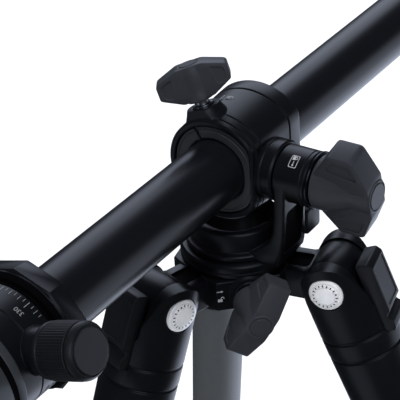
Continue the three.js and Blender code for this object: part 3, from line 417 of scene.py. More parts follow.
class PaintShop:
    """Makes each finish's material once, from shared node groups."""

    def __init__(self) -> None:
        """Builds the shared groups."""
        self.made: dict[str, bpy.types.Material] = {}
        self.groups = {Relief.CAST: self._cast(), Relief.DRAWN: self._drawn(),
                       Relief.MOULDED: self._moulded(), Relief.TURNED: self._turned(),
                       Relief.PLAIN: self._cast()}
        self.rub = self._edge_rub()

    @staticmethod
    def _group(name: str, values: dict[str, float], outputs: Sequence[tuple[str, str]]) -> tuple:
        """A new node group with a vector input, named values and outputs."""
        tree = bpy.data.node_groups.new(name, "ShaderNodeTree")
        tree.interface.new_socket("Vector", in_out="INPUT", socket_type="NodeSocketVector")
        for label, value in values.items():
            tree.interface.new_socket(label, in_out="INPUT",
                                      socket_type="NodeSocketFloat").default_value = value
        for label, kind in outputs:
            tree.interface.new_socket(label, in_out="OUTPUT", socket_type=kind)
        return tree, tree.nodes.new("NodeGroupInput"), tree.nodes.new("NodeGroupOutput")

    @staticmethod
    def _noise(tree: bpy.types.NodeTree, vector: object, scale: object, detail: float,
               rough: float) -> object:
        """Noise texture fed by a vector and a scale, as its factor socket."""
        node = tree.nodes.new("ShaderNodeTexNoise")
        node.inputs["Detail"].default_value = detail
        node.inputs["Roughness"].default_value = rough
        tree.links.new(vector, node.inputs["Vector"])
        if isinstance(scale, float):
            node.inputs["Scale"].default_value = scale
        else:
            tree.links.new(scale, node.inputs["Scale"])
        return node.outputs["Fac"]

    @staticmethod
    def _maths(tree: bpy.types.NodeTree, operation: str, first: object, second: object) -> object:
        """Maths node on sockets or numbers, as its value socket."""
        node = tree.nodes.new("ShaderNodeMath")
        node.operation = operation
        for socket, value in zip(node.inputs, (first, second)):
            if isinstance(value, (int, float)):
                socket.default_value = value
            else:
                tree.links.new(value, socket)
        return node.outputs[0]

    def _relief_group(self, name: str, stretch: tuple[float, float, float], coarse: float,
                      detail: float) -> object:
        """Group with a fine relief height and a broad mottle, on stretched coordinates."""
        tree, source, target = self._group(name, {"Scale": 2500.0},
                                           [("Height", "NodeSocketFloat"), ("Mottle", "NodeSocketFloat")])
        mapping = tree.nodes.new("ShaderNodeMapping")
        mapping.inputs["Scale"].default_value = stretch
        tree.links.new(source.outputs["Vector"], mapping.inputs["Vector"])
        fine = self._noise(tree, mapping.outputs["Vector"], source.outputs["Scale"], detail, 0.55)
        tree.links.new(fine, target.inputs["Height"])
        broad_scale = self._maths(tree, "MULTIPLY", source.outputs["Scale"], coarse)
        broad = self._noise(tree, mapping.outputs["Vector"], broad_scale, 4.0, 0.6)
        tree.links.new(broad, target.inputs["Mottle"])
        return tree

    def _cast(self) -> object:
        """Fine orange-peel of satin paint on a casting."""
        return self._relief_group("satin_paint_grain", (1, 1, 1), 0.03, 2.0)

    def _drawn(self) -> object:
        """Lengthwise lines of a drawn tube."""
        return self._relief_group("drawn_tube_lines", (0.012, 1, 1), 0.12, 3.0)

    def _moulded(self) -> object:
        """Spark-eroded grain of moulded plastic."""
        return self._relief_group("moulded_grain", (1, 1, 1), 0.05, 5.0)

    def _turned(self) -> object:
        """Faint mottle of machined metal."""
        return self._relief_group("machined_mottle", (1, 1, 1), 0.05, 3.0)

    def _edge_rub(self) -> object:
        """Mask of edges rubbed by handling, broken up by noise."""
        tree, source, target = self._group("edge_rub", {"Radius": 0.0005, "Amount": 0.3},
                                           [("Mask", "NodeSocketFloat")])
        bevel = tree.nodes.new("ShaderNodeBevel")
        bevel.samples = 4
        tree.links.new(source.outputs["Radius"], bevel.inputs["Radius"])
        geometry = tree.nodes.new("ShaderNodeNewGeometry")
        dot = tree.nodes.new("ShaderNodeVectorMath")
        dot.operation = "DOT_PRODUCT"
        tree.links.new(bevel.outputs["Normal"], dot.inputs[0])
        tree.links.new(geometry.outputs["Normal"], dot.inputs[1])
        bend = self._maths(tree, "SUBTRACT", 1.0, dot.outputs["Value"])
        sharp = self._maths(tree, "MULTIPLY", bend, 9.0)
        noise = self._noise(tree, source.outputs["Vector"], 420.0, 4.0, 0.7)
        patchy = self._maths(tree, "MULTIPLY", sharp, noise)
        mask = self._maths(tree, "MULTIPLY", patchy, source.outputs["Amount"])
        limit = tree.nodes.new("ShaderNodeClamp")
        tree.links.new(mask, limit.inputs["Value"])
        tree.links.new(limit.outputs["Result"], target.inputs["Mask"])
        return tree

    def material(self, finish: Finish) -> bpy.types.Material:
        """The material of a finish.

        Args:
            finish: the finish wanted.

        Returns:
            Its material, made on first use.
        """
        if finish.name in self.made:
            return self.made[finish.name]
        made = bpy.data.materials.new(finish.name)
        shader = principled(made)
        tree = made.node_tree
        shader.inputs["Metallic"].default_value = finish.metallic
        shader.inputs["Coat Weight"].default_value = finish.coat
        shader.inputs["Specular IOR Level"].default_value = finish.gloss
        coords = tree.nodes.new("ShaderNodeTexCoord").outputs["Object"]
        relief = tree.nodes.new("ShaderNodeGroup")
        relief.node_tree = self.groups[finish.relief]
        relief.inputs["Scale"].default_value = 1.0 / (finish.pitch * MM)
        tree.links.new(coords, relief.inputs["Vector"])
        rub = tree.nodes.new("ShaderNodeGroup")
        rub.node_tree = self.rub
        rub.inputs["Radius"].default_value = max(finish.edge, 0.05) * MM
        rub.inputs["Amount"].default_value = finish.wear
        tree.links.new(coords, rub.inputs["Vector"])
        shade = tree.nodes.new("ShaderNodeMix")
        shade.data_type = "RGBA"
        shade.inputs["A"].default_value = (*(0.82 * part for part in finish.colour), 1)
        shade.inputs["B"].default_value = (*(1.18 * part for part in finish.colour), 1)
        tree.links.new(relief.outputs["Mottle"], shade.inputs["Factor"])
        worn = tree.nodes.new("ShaderNodeMix")
        worn.data_type = "RGBA"
        worn.inputs["B"].default_value = (*finish.worn, 1)
        tree.links.new(rub.outputs["Mask"], worn.inputs["Factor"])
        tree.links.new(shade.outputs["Result"], worn.inputs["A"])
        tree.links.new(worn.outputs["Result"], shader.inputs["Base Color"])
        rough = tree.nodes.new("ShaderNodeMapRange")
        rough.inputs["To Min"].default_value = finish.roughness - finish.spread
        rough.inputs["To Max"].default_value = finish.roughness + finish.spread
        tree.links.new(relief.outputs["Mottle"], rough.inputs["Value"])
        tree.links.new(rough.outputs["Result"], shader.inputs["Roughness"])
        bump = tree.nodes.new("ShaderNodeBump")
        bump.inputs["Strength"].default_value = 0.6
        bump.inputs["Distance"].default_value = finish.depth * MM
        tree.links.new(relief.outputs["Height"], bump.inputs["Height"])
        if finish.edge > 0:
            soften = tree.nodes.new("ShaderNodeBevel")
            soften.samples = 6
            soften.inputs["Radius"].default_value = finish.edge * MM
            tree.links.new(soften.outputs["Normal"], bump.inputs["Normal"])
        tree.links.new(bump.outputs["Normal"], shader.inputs["Normal"])
        self.made[finish.name] = made
        return made


@dataclass
class Bench:
    """Where forms become finished pieces of the tripod."""

    paint: PaintShop
    origin: Vector
    count: int = 0

    def settle(self, form: Form, name: str, body: str, finishes: Sequence[Finish],
               nodes: Sequence[str] = (), slot: str = "satin_black") -> bpy.types.Object:
        """Makes a form a piece that rides on a body.

        Args:
            form: the form, in the shoulder's frame.
            name: the piece's name.
            body: the body it rides on.
            finishes: its finishes, by the number that its faces carry.
            nodes: the solids it stands for.
            slot: the record's slot of its finish; not used.

        Returns:
            The piece.
        """
        form.tidy()
        to_world = Matrix.Translation(self.origin) @ Matrix.Diagonal((MM, MM, MM, 1))
        bmesh.ops.transform(form.bm, matrix=to_world, verts=form.bm.verts)
        for face in form.bm.faces:
            face.smooth = True
        for edge in form.bm.edges:
            edge.smooth = len(edge.link_faces) == 2 and edge.calc_face_angle(0) < math.radians(32)
        mesh = bpy.data.meshes.new(name)
        form.bm.to_mesh(mesh)
        form.bm.free()
        made = linked(name, mesh)
        for finish in finishes:
            mesh.materials.append(self.paint.material(finish))
        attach(made, body)
        if nodes:
            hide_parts(*nodes)
        self.count += 1
        LOG.info("%s: %d faces on %s", name, len(mesh.polygons), body)
        return made


# ---- knobs ----------------------------------------------------------------------------------
@dataclass
class WingKnob:
    """Moulded clamp knob with two wings, about Z, its base at z = 0."""

    shank: float
    height: float
    half_span: float
    thickness: float
    disc: float
    turn: float
    pocket: float = 0.5

    def wings(self) -> Form:
        """The two wings, with a pocket in each broad face."""
        h, s = self.height, self.half_span
        foot = max(self.shank * 0.92, 0.42 * s)
        half = [(0.0, 0.05 * h), (foot, 0.05 * h), (s * 0.97, 0.32 * h), (s, 0.36 * h), (s, 0.72 * h),
                (s * 0.95, 0.77 * h), (self.disc * 1.25, 0.975 * h), (0.0, 0.975 * h)]
        outline = rounded(mirrored(half), 0.9, 3, True)
        half_thick = self.thickness / 2
        form = Form.slab(outline, -half_thick, half_thick).bevel(0.75, 3, 50)
        window = rounded([(s * 0.62, 0.30 * h), (s * 0.74, 0.30 * h), (s * 0.88, 0.40 * h),
                          (s * 0.88, 0.68 * h), (s * 0.54, 0.82 * h)], 1.2, 3, True)
        for side in (-1, 1):
            sunk = [(side * x, y) for x, y in window]
            form.cut(Form.slab(sunk, -half_thick - 3, self.pocket - half_thick),
                     Form.slab(sunk, half_thick - self.pocket, half_thick + 3))
        taper = 0.10 * half_thick

        def thin(point: Vector) -> Vector:
            """Draws the wings thinner towards their tips."""
            share = min(abs(point.x) / s, 1.0) ** 2
            point.z *= 1 - share * taper / half_thick
            return point

        return form.warp(thin).place(spun(self.turn, "Z") @ ALONG_MINUS_Y)

    def core(self) -> Form:
        """The round shank, the crown and its end disc."""
        h, r = self.height, self.shank
        neck = self.thickness * 0.56
        profile = [(0, 0), (r - 0.5, 0), (r, 0.5), (r, 0.16 * h), (r - 0.3, 0.22 * h),
                   (max(neck, r * 0.86), 0.40 * h), (neck, 0.66 * h), (self.disc + 1.5, 0.90 * h),
                   (self.disc + 1.1, 0.965 * h), (self.disc + 0.5, h - 0.2), (self.disc, h - 0.2),
                   (self.disc - 0.1, h - 0.7), (self.disc - 0.6, h - 0.7), (self.disc - 0.7, h), (0, h)]
        return Form.turned(profile, 72)

    def form(self) -> Form:
        """The whole knob."""
        return self.wings().join(self.core())


@dataclass
class GripKnob:
    """Knurled round knob about Z, its base at z = 0."""

    radius: float
    length: float
    ribs: int = 56
    relief: float = 0.28

    def form(self) -> Form:
        """A ribbed barrel between two plain collars with a chamfered end."""
        r, n = self.radius, self.length
        plain = Form.turned(rounded([(0, 0), (r - 0.6, 0), (r - 0.2, 0.5), (r - 0.2, 2.0), (r - 1.0, 2.4),
                                     (r - 1.0, n - 3.4), (r - 0.2, n - 3.0), (r - 0.2, n - 2.2),
                                     (r - 1.5, n - 0.5), (r - 1.7, n - 0.5), (r - 1.9, n - 0.8),
                                     (r - 2.2, n - 0.8), (r - 2.4, n), (0, n)], 0.12, 1), 72)
        ring = ribbed(self.ribs, lambda phase: r - self.relief * (1 - (0.5 + 0.5 * phase) ** 0.6))
        barrel = Form.slab(ring, 2.6, n - 3.6).bevel(0.25, 1, 60)
        return plain.join(barrel)


# ---- pictograms and lettering ---------------------------------------------------------------
class Mark(Enum):
    """Generic pictograms printed beside the clamps."""

    LOCKED = "locked"
    OPEN = "open"
    ARROW = "arrow"
    FRAME = "frame"


class Printer:
    """Makes thin printed marks, flat in XY, facing +Z."""

    THICK = 0.07

    def mark(self, kind: Mark, size: float = 3.0) -> Form:
        """One pictogram.

        Args:
            kind: which one.
            size: its height.

        Returns:
            The mark about the origin.
        """
        if kind is Mark.ARROW:
            outline = [(-0.9, -0.12), (0.35, -0.12), (0.35, -0.42), (1.0, 0.0), (0.35, 0.42), (0.35, 0.12),
                       (-0.9, 0.12)]
            form = Form.slab(outline, 0, self.THICK)
        elif kind is Mark.FRAME:
            outer = panel(-0.8, 0.8, -0.5, 0.5, 0.15, 3)
            inner = [(x * 0.90, y * 0.86) for x, y in outer]
            form = Form.slab(outer, 0, self.THICK).cut(Form.slab(inner, -1, 1))
        else:
            form = Form.slab(panel(-0.42, 0.42, -0.5, 0.08, 0.08, 2), 0, self.THICK)
            arc = [(math.cos(math.radians(a)), math.sin(math.radians(a))) for a in range(0, 181, 15)]
            loop = [(0.33 * x, 0.18 + 0.33 * y) for x, y in arc] + [(-0.33, 0.05), (-0.20, 0.05)]
            loop += [(0.20 * x, 0.18 + 0.20 * y) for x, y in reversed(arc)] + [(0.20, 0.05), (0.33, 0.05)]
            shackle = Form.slab(loop, 0, self.THICK)
            if kind is Mark.OPEN:
                shackle.place(moved(0.42, 0.05, 0))
            form.join(shackle)
        return form.place(Matrix.Diagonal((size, size, 1, 1)))

    def digits(self, text: str, size: float) -> Form:
        """Plain numerals, centred on the origin."""
        curve = bpy.data.curves.new("digits", "FONT")
        curve.body, curve.size, curve.extrude = text, size, self.THICK / 2
        curve.align_x, curve.align_y = "CENTER", "CENTER"
        return Form.swept(curve).place(moved(0, 0, self.THICK / 2))

    @staticmethod
    def around(form: Form, radius: float, height: float, angle: float) -> Form:
        """Bends a flat form round a cylinder about Z.

        Args:
            form: the flat form; its Y runs along the cylinder.
            radius: the cylinder's radius.
            height: where the form's origin lands along the axis.
            angle: where it lands around the axis, in degrees.

        Returns:
            The bent form.
        """
        start = math.radians(angle)
        long = [edge for edge in form.bm.edges if edge.calc_length() > 0.6]
        bmesh.ops.subdivide_edges(form.bm, edges=long, cuts=5)

        def bend(point: Vector) -> Vector:
            """Wraps one corner."""
            turn = start + point.x / radius
            reach = radius + point.z
            return Vector((reach * math.cos(turn), reach * math.sin(turn), height + point.y))

        return form.warp(bend)


def rect_ring(x0: float, x1: float, y0: float, y1: float, z: float, radius: float) -> list[Vector]:
    """Rounded rectangle at a height, as a ring of corners."""
    return [Vector((x, y, z)) for x, y in panel(x0, x1, y0, y1, radius)]


# ---- shoulder -------------------------------------------------------------------------------
@dataclass
class Shoulder:
    """Spider hub with its pan bearing and pan clamp."""

    bench: Bench
    printer: Printer
    azimuths: tuple[float, ...] = (42.9, 162.9, 282.9)
    height: float = 15.0
    hinge_radius: float = 45.5
    hinge_height: float = 9.9
    knuckle: float = 11.4
    clamp_azimuth: float = 222.9
    clamp_height: float = 8.3
    bore: float = 16.8
    knob_base: float = 31.6
    knob: WingKnob = field(default_factory=lambda: WingKnob(8.2, 20, 18.5, 11.5, 4.8, -33, 0.4))

    def hub(self) -> Form:
        """Faceted hub with three clevis arms."""
        outline = []
        for azimuth in self.azimuths:
            for offset, reach in ((23.5, 27.6), (31, 28.5), (89, 28.5), (96.5, 27.6)):
                turn = math.radians(azimuth + offset)
                outline.append((reach * math.cos(turn), reach * math.sin(turn)))
        form = Form.slab(outline, 0, self.height).bevel(0.9, 3, 50)
        arc = [math.radians(a) for a in range(-100, 153, 9)]
        side = [(17.2, 0.7)] + [(self.hinge_radius + self.knuckle * math.cos(a),
                                 max(self.hinge_height + self.knuckle * math.sin(a), 0.02)) for a in arc]
        side += [(33.0, 14.3), (17.2, 14.3)]
        arm = Form.slab(side, -9.5, 9.5).bevel(0.7, 2, 50).place(ALONG_MINUS_Y)
        for azimuth in self.azimuths:
            form.fuse(arm.copy(spun(azimuth, "Z")))
        boss = Form.turned([(0, 18), (9.4, 18), (9.0, 24.6), (8.0, 25.6), (7.4, 26.2), (7.1, 27.8),
                            (6.5, 28.4), (0, 28.4)])
        form.fuse(boss.place(outward(self.clamp_azimuth, self.clamp_height)))
        form.cut(Form.rod(self.bore, -5, 20), Form.rod(19.3, -5, 3.6))
        for azimuth in self.azimuths:
            # Each groove's faces carry the near-black finish: painted shade in the grooves.
            groove = Form.slab(panel(24, 34.5, -5.2, 5.2, 2.2), 13.3, 19)
            form.cut(groove.paint(1).place(spun(azimuth, "Z")))
        return form

    def sleeve(self) -> Form:
        """Bright sleeve and screw of the pan clamp."""
        clamp = outward(self.clamp_azimuth, self.clamp_height)
        ring = Form.turned([(3.2, 27.6), (5.4, 27.6), (5.4, 29.6), (5.0, 30.1), (3.2, 30.1)])
        return Form.rod(3, 17.6, 39, 0.3, 32).join(ring).place(clamp)

    def bearing(self) -> Form:
        """Lowest, widest ring of the swivel."""
        return Form.turned([(self.bore, 15.3), (24.8, 15.3), (25.3, 15.8), (25.3, 17.5), (24.9, 17.7),
                            (24.9, 18.1), (25.3, 18.3), (25.3, 20.5), (25.0, 21.1), (24.2, 21.7),
                            (self.bore, 21.7)])

    def marks(self) -> Form:
        """Pictograms on the facet beside the pan clamp."""
        face = outward(self.clamp_azimuth, self.clamp_height)
        upright = spun(90, "Z")
        form = self.printer.mark(Mark.ARROW, 1.5).place(face @ moved(-2.0, -12.6, 24.95) @ upright)
        form.join(self.printer.mark(Mark.OPEN, 2.4).place(face @ moved(2.0, -12.6, 24.95) @ upright))
        return form

    def build(self) -> None:
        """Makes the shoulder's pieces."""
        self.bench.settle(self.hub(), "spider_hub", "shoulder", [SATIN, SHADE_AND_PRINT_BLACK], ["shoulder_hub"])
        self.bench.settle(self.bearing(), "bearing_ring", "shoulder", [SATIN], ["pan_bearing_ring"])
        self.bench.settle(self.marks(), "pan_clamp_marks", "shoulder", [INK])
        self.bench.settle(self.sleeve(), "pan_clamp_sleeve", "pan_knob", [STEEL], ["pan_clamp_screw"],
                          "bright_steel")
        clamp = outward(self.clamp_azimuth, self.clamp_height)
        knob = self.knob.form().place(clamp @ moved(0, 0, self.knob_base))
        self.bench.settle(knob, "pan_wing_knob", "pan_knob", [KNOB, SHADE_AND_PRINT_BLACK], ["pan_clamp_knob"])


# ---- swivel bracket -------------------------------------------------------------------------
@dataclass
class Swivel:
    """Turret and side arm that carry the column's pivot."""

    bench: Bench
    printer: Printer
    column_path: float = 14.6
    sweep: float = 35.4

    def turret(self) -> Form:
        """Stepped turret, dished at the back to pass the collar."""
        r = self.column_path
        form = Form.turned([(r, 0.4), (16.2, 0.4), (16.2, 22.0), (22.0, 22.0), (22.3, 22.3), (22.3, 24.0),
                            (21.9, 24.6), (20.7, 24.9), (20.1, 25.5), (19.9, 33.3), (19.5, 34.1),
                            (18.7, 34.6), (17.3, 34.7), (16.2, 34.3), (15.4, 33.6), (r, 33.2)])
        dish = Form.rod(self.sweep, -20.7, 60, 0, 160).place(moved(0, 0, COLUMN_HEIGHT) @ spun(-90, "X"))
        dish.cut(Form.block((-80, -80, -80), (-1, 80, 160)))
        return form.cut(dish)

    def arm(self) -> Form:
        """Upright arm, flared into the turret at its foot, with a pocket in its outer face."""
        stations = [(22.2, -13.8, 9.0, -12.0, -29.0), (25.0, -13.9, 9.2, -14.0, -29.5),
                    (27.5, -13.4, 9.0, -18.8, -29.9), (30.0, -12.8, 8.4, -22.2, -30.3),
                    (33.0, -12.2, 7.6, -24.4, -30.7), (37.0, -11.9, 7.1, -25.6, -31.1),
                    (43.0, -11.8, 6.9, -26.3, -31.5), (52.0, -11.8, 7.0, -26.8, -32.0),
                    (63.0, -11.9, 7.0, -26.9, -32.4)]
        rings = [rect_ring(front, back, outer, inner, z, 1.3) for z, front, back, inner, outer in stations]
        form = Form.lofted(rings)
        window = rounded([(-9.6, 26.6), (4.6, 26.6), (4.9, 47.6), (-9.4, 47.6)], 2.0, 4, True)
        # The pocket's faces carry the near-black finish: painted shade in the pocket.
        tool = Form.slab(window, -2.2, 2.2).paint(1).place(moved(0, -31.6, 0) @ ALONG_MINUS_Y)
        return form.cut(tool)

    def boss(self) -> Form:
        """Round pivot boss at the arm's head."""
        form = Form.turned([(5.3, 26.7), (11.5, 26.7), (12.0, 27.2), (12.0, 39.0), (11.7, 39.2),
                            (11.7, 39.6), (12.0, 39.8), (12.0, 40.9), (11.4, 41.5), (5.3, 41.5)])
        return form.place(COLUMN_FRAME @ ALONG_MINUS_Y)

    def marks(self) -> Form:
        """Framed pictogram on the boss."""
        place = COLUMN_FRAME @ ALONG_MINUS_Y
        form = Form()
        for kind, size, shift in ((Mark.FRAME, 3.6, 0.0), (Mark.LOCKED, 2.2, -1.5), (Mark.ARROW, 1.3, 1.1)):
            mark = self.printer.mark(kind, size).place(moved(shift, 0, 0))
            form.join(self.printer.around(mark, 12.02, 34.4, 122))
        return form.place(place)

    def catch(self) -> Form:
        """Black lug behind the arm's foot."""
        side = rounded([(8.4, 26), (20, 26), (20, 34.5), (16.5, 38), (8.4, 38)], 2.2, 4, True)
        form = Form.slab(side, -4.3, 4.3).bevel(1.0, 3, 50).place(moved(0, -26.6, 0) @ ALONG_MINUS_Y)
        for step in range(3):
            place = moved(20.0, -26.6, 28.6 + 2.3 * step) @ ALONG_MINUS_Y
            form.join(Form.rod(0.55, -3.4, 3.4, 0.2, 16).place(place))
        return form

    def build(self) -> None:
        """Makes the swivel's pieces."""
        self.bench.settle(self.turret().join(self.arm(), self.boss()), "swivel_frame", "swivel",
                          [SATIN, SHADE_AND_PRINT_BLACK], ["swivel_bracket"])
        self.bench.settle(self.catch(), "swing_stop", "swivel", [PLASTIC], ["swing_catch"], "black_plastic")
        self.bench.settle(self.marks(), "swing_marks", "swivel", [INK])


# ---- column collar --------------------------------------------------------------------------
@dataclass
class Collar:
    """D-shaped housing round the column, with its pivot and two clamps."""

    bench: Bench
    printer: Printer
    front: float = -13.6
    back: float = 23.8
    flat_front: float = 18.7
    flat_back: float = 19.9
    swing_base: float = 43.4
    clamp_base: float = 30.0
    swing_knob: WingKnob = field(default_factory=lambda: WingKnob(11.6, 26, 21.5, 13, 6.2, 105, 0.6))
    column_knob: WingKnob = field(default_factory=lambda: WingKnob(6.2, 16, 15.5, 11, 4.5, -54, 0.4))

    @staticmethod
    def clamp_axis() -> Matrix:
        """Frame of the column clamp: its Z leans off the top, above the column."""
        return moved(-6.2, 0, 0) @ spun(-20, "X")

    def outer(self, along: float) -> float:
        """Housing radius at a place along the column."""
        return 23.2 + (along - self.front) * 2.2 / (self.back - self.front)

    def flatten(self, point: Vector) -> Vector:
        """Presses one corner of the round shell onto the flat side."""
        radius = math.hypot(point.y, point.z)
        share = (point.x - self.front) / (self.back - self.front)
        flat = self.flat_front + share * (self.flat_back - self.flat_front)
        limit = max(flat - max(self.outer(point.x) - radius, 0.0), min(radius, 17.3))
        depth, soft = -point.y, 2.6
        if depth > limit - soft:
            blend = max(0.0, min(1.0, 0.5 + 0.5 * (limit - depth) / soft))
            point.y = -(limit * (1 - blend) + depth * blend - soft * blend * (1 - blend))
        return point

    def housing(self) -> Form:
        """The shell with its front lip, grooves and top pad."""
        shell = [(17.3, -11.9), (20.5, -11.9), (20.5, -13.2), (21.0, -13.6), (22.5, -13.6), (23.2, -13.0),
                 (23.3, -11.0), (22.8, -10.8), (22.8, -10.2), (23.4, -10.0), (23.6, -6.8), (23.1, -6.6),
                 (23.1, -6.0), (23.7, -5.8), (24.8, 14.6), (24.3, 14.8), (24.3, 15.5), (24.95, 15.7),
                 (25.3, 22.4), (25.0, 23.3), (24.2, 23.8), (18.4, 23.8), (17.3, 23.2)]
        form = Form.turned(shell, 144).place(ALONG_X).warp(self.flatten)
        pad = Form.turned(rounded([(0, 18.6), (10.2, 18.6), (9.4, 22.0), (8.2, 24.4), (7.5, 26.0),
                                   (7.2, 26.9), (4.6, 26.9), (4.6, 26.2), (0, 26.2)], 0.5, 2))
        pad.place(self.clamp_axis()).cut(Form.rod(17.5, -40, 60).place(ALONG_X))
        pad.cut(Form.block((-40, -40, 0), (-12.2, 40, 40)))
        return form.join(pad).place(COLUMN_FRAME)

    def sleeve(self) -> Form:
        """Plastic bush with its split."""
        form = Form.turned([(15.0, -13.0), (18.0, -13.0), (18.2, -12.7), (18.9, -12.7), (19.1, -13.0),
                            (19.8, -13.0), (20.2, -12.6), (20.2, -11.95), (17.0, -11.95), (17.0, 23.2),
                            (14.9, 23.2), (14.3, 22.6), (14.3, -12.4)], 144)
        form.place(ALONG_X).warp(self.flatten)
        split = Form.block((-40, -1.0, 4), (60, 1.0, 40)).place(spun(-28, "X"))
        return form.cut(split).place(COLUMN_FRAME)

    def pivot_ring(self) -> Form:
        """Stepped ring between the flat and the arm."""
        form = Form.turned([(5.3, 18.0), (13.0, 18.0), (13.2, 20.6), (12.8, 21.0), (12.8, 21.8),
                            (13.2, 22.2), (13.2, 25.6), (12.5, 26.4), (5.3, 26.4)])
        return form.place(COLUMN_FRAME @ ALONG_MINUS_Y)

    def rim(self) -> Form:
        """Bright trim ring at the end of the boss."""
        form = Form.turned([(5.3, 41.8), (12.0, 41.8), (12.4, 42.2), (12.4, 42.7), (12.0, 43.1), (5.3, 43.1)])
        return form.place(COLUMN_FRAME @ ALONG_MINUS_Y)

    def neck(self) -> Form:
        """Screw and bright insert of the column clamp."""
        insert = Form.turned([(3.2, 26.3), (4.4, 26.3), (4.4, 27.6), (4.0, 27.9), (3.2, 27.9)])
        form = Form.rod(3.1, 18, 37, 0.2, 40).join(insert)
        return form.place(COLUMN_FRAME @ self.clamp_axis())

    def marks(self) -> Form:
        """Pictograms on the housing beside the column clamp."""
        form = Form()
        for kind, size, along, angle in ((Mark.LOCKED, 3.4, 6.6, 60), (Mark.ARROW, 3.4, 6.6, 50)):
            mark = self.printer.mark(kind, size).place(spun(-90, "Z"))
            form.join(self.printer.around(mark, 24.42, along, angle + 110))
        return form.place(COLUMN_FRAME @ ALONG_X)

    def build(self) -> None:
        """Makes the collar's pieces."""
        settle = self.bench.settle
        settle(self.housing(), "collar_shell", "collar", [SATIN], ["collar_housing"])
        settle(self.sleeve(), "collar_bush", "collar", [SLEEVE], ["collar_sleeve"], "black_plastic")
        settle(self.pivot_ring(), "pivot_spacer", "collar", [SATIN], ["pivot_ring"])
        settle(self.rim(), "swing_rim", "collar", [BRIGHT], ["tilt_trim_ring"], "bright_steel")
        settle(self.marks(), "column_clamp_marks", "collar", [INK])
        swing = self.swing_knob.form().place(COLUMN_FRAME @ ALONG_MINUS_Y @ moved(0, 0, self.swing_base))
        settle(swing, "swing_wing_knob", "tilt_knob", [KNOB, SHADE_AND_PRINT_BLACK], ["tilt_knob"])
        settle(self.neck(), "column_clamp_neck", "column_knob", [STEEL], ["column_clamp_screw"],
               "bright_steel")
        knob = self.column_knob.form().place(COLUMN_FRAME @ self.clamp_axis() @ moved(0, 0, self.clamp_base))
        settle(knob, "column_wing_knob", "column_knob", [KNOB, SHADE_AND_PRINT_BLACK], ["column_clamp_knob"])


# ---- centre column --------------------------------------------------------------------------
@dataclass
class CentreColumn:
    """Column tube with its tail cap and ballast ring."""

    bench: Bench
    radius: float = 14.0
    head_end: float = -131.2
    tail_end: float = 232.0

    def tube(self) -> Form:
        """Plain tube with broken rims."""
        r = self.radius
        return Form.turned([(12.4, self.head_end), (r - 0.3, self.head_end), (r, self.head_end + 0.3),
                            (r, self.tail_end - 0.3), (r - 0.3, self.tail_end), (12.4, self.tail_end)],
                           128).place(COLUMN_FRAME @ ALONG_X)

    def cap(self) -> Form:
        """Tail cap with the lug of the ballast ring."""
        start = self.tail_end + 0.3
        form = Form.turned(rounded([(0, start - 14), (12.1, start - 14), (12.1, start), (15.2, start),
                                    (15.6, start + 0.6), (15.6, start + 2.4), (14.4, start + 4),
                                    (11, start + 4), (10.6, start + 3.5), (10.0, start + 3.5),
                                    (9.6, start + 4), (0, start + 4)], 0.25, 2)).place(ALONG_X)
        eye = start + 10
        side = rounded([(start + 3, -4.5), (eye + 1.5, -4.0), (eye + 3.9, -1.8), (eye + 3.9, 1.8),
                        (eye + 1.5, 4.0), (start + 3, 4.5)], 1.2, 3, True)
        lug = Form.slab(side, -2, 2).bevel(0.4, 2, 50).place(ALONG_MINUS_Y)
        lug.cut(Form.rod(2.2, -9, 9, 0, 40).place(moved(eye, 0, 0) @ ALONG_MINUS_Y))
        return form.join(lug).place(COLUMN_FRAME)

    def ring(self) -> Form:
        """Wire bail through the lug."""
        curve = bpy.data.curves.new("bail", "CURVE")
        curve.dimensions, curve.bevel_depth, curve.bevel_resolution, curve.resolution_u = "3D", 1.6, 6, 8
        spline = curve.splines.new("BEZIER")
        knots = [((0, -4, 0), (0, -6.6, 0), (0, 0, 0)), ((0, -9, -5), (0, -9, -9), (0, -9, -2.4)),
                 ((0, 0, -20.4), (0, 5.6, -20.4), (0, -5.6, -20.4)), ((0, 9, -5), (0, 9, -2.4), (0, 9, -9)),
                 ((0, 4, 0), (0, 0, 0), (0, 6.6, 0))]
        spline.bezier_points.add(len(knots) - 1)
        for knot, (place, after, before) in zip(spline.bezier_points, knots):
            knot.co, knot.handle_right, knot.handle_left = place, after, before
        spline.use_cyclic_u = True
        return Form.swept(curve).place(COLUMN_FRAME @ moved(self.tail_end + 10.3, 0, 0))

    def build(self) -> None:
        """Makes the column's pieces."""
        settle = self.bench.settle
        settle(self.tube(), "column_tube", "column", [COLUMN], ["center_column"], "column_black")
        settle(self.cap(), "tail_cap", "column", [PLASTIC], ["column_tail_cap"], "black_plastic")
        settle(self.ring(), "ballast_bail", "ballast_ring", [STEEL], ["ballast_ring"], "bright_steel")


# ---- ball head ------------------------------------------------------------------------------
def radial(place: float, turn: float) -> Matrix:
    """Frame on the head whose Z leaves the head's axis sideways."""
    return HEAD_FRAME @ moved(0, 0, place) @ spun(turn, "Z") @ spun(90, "Y")


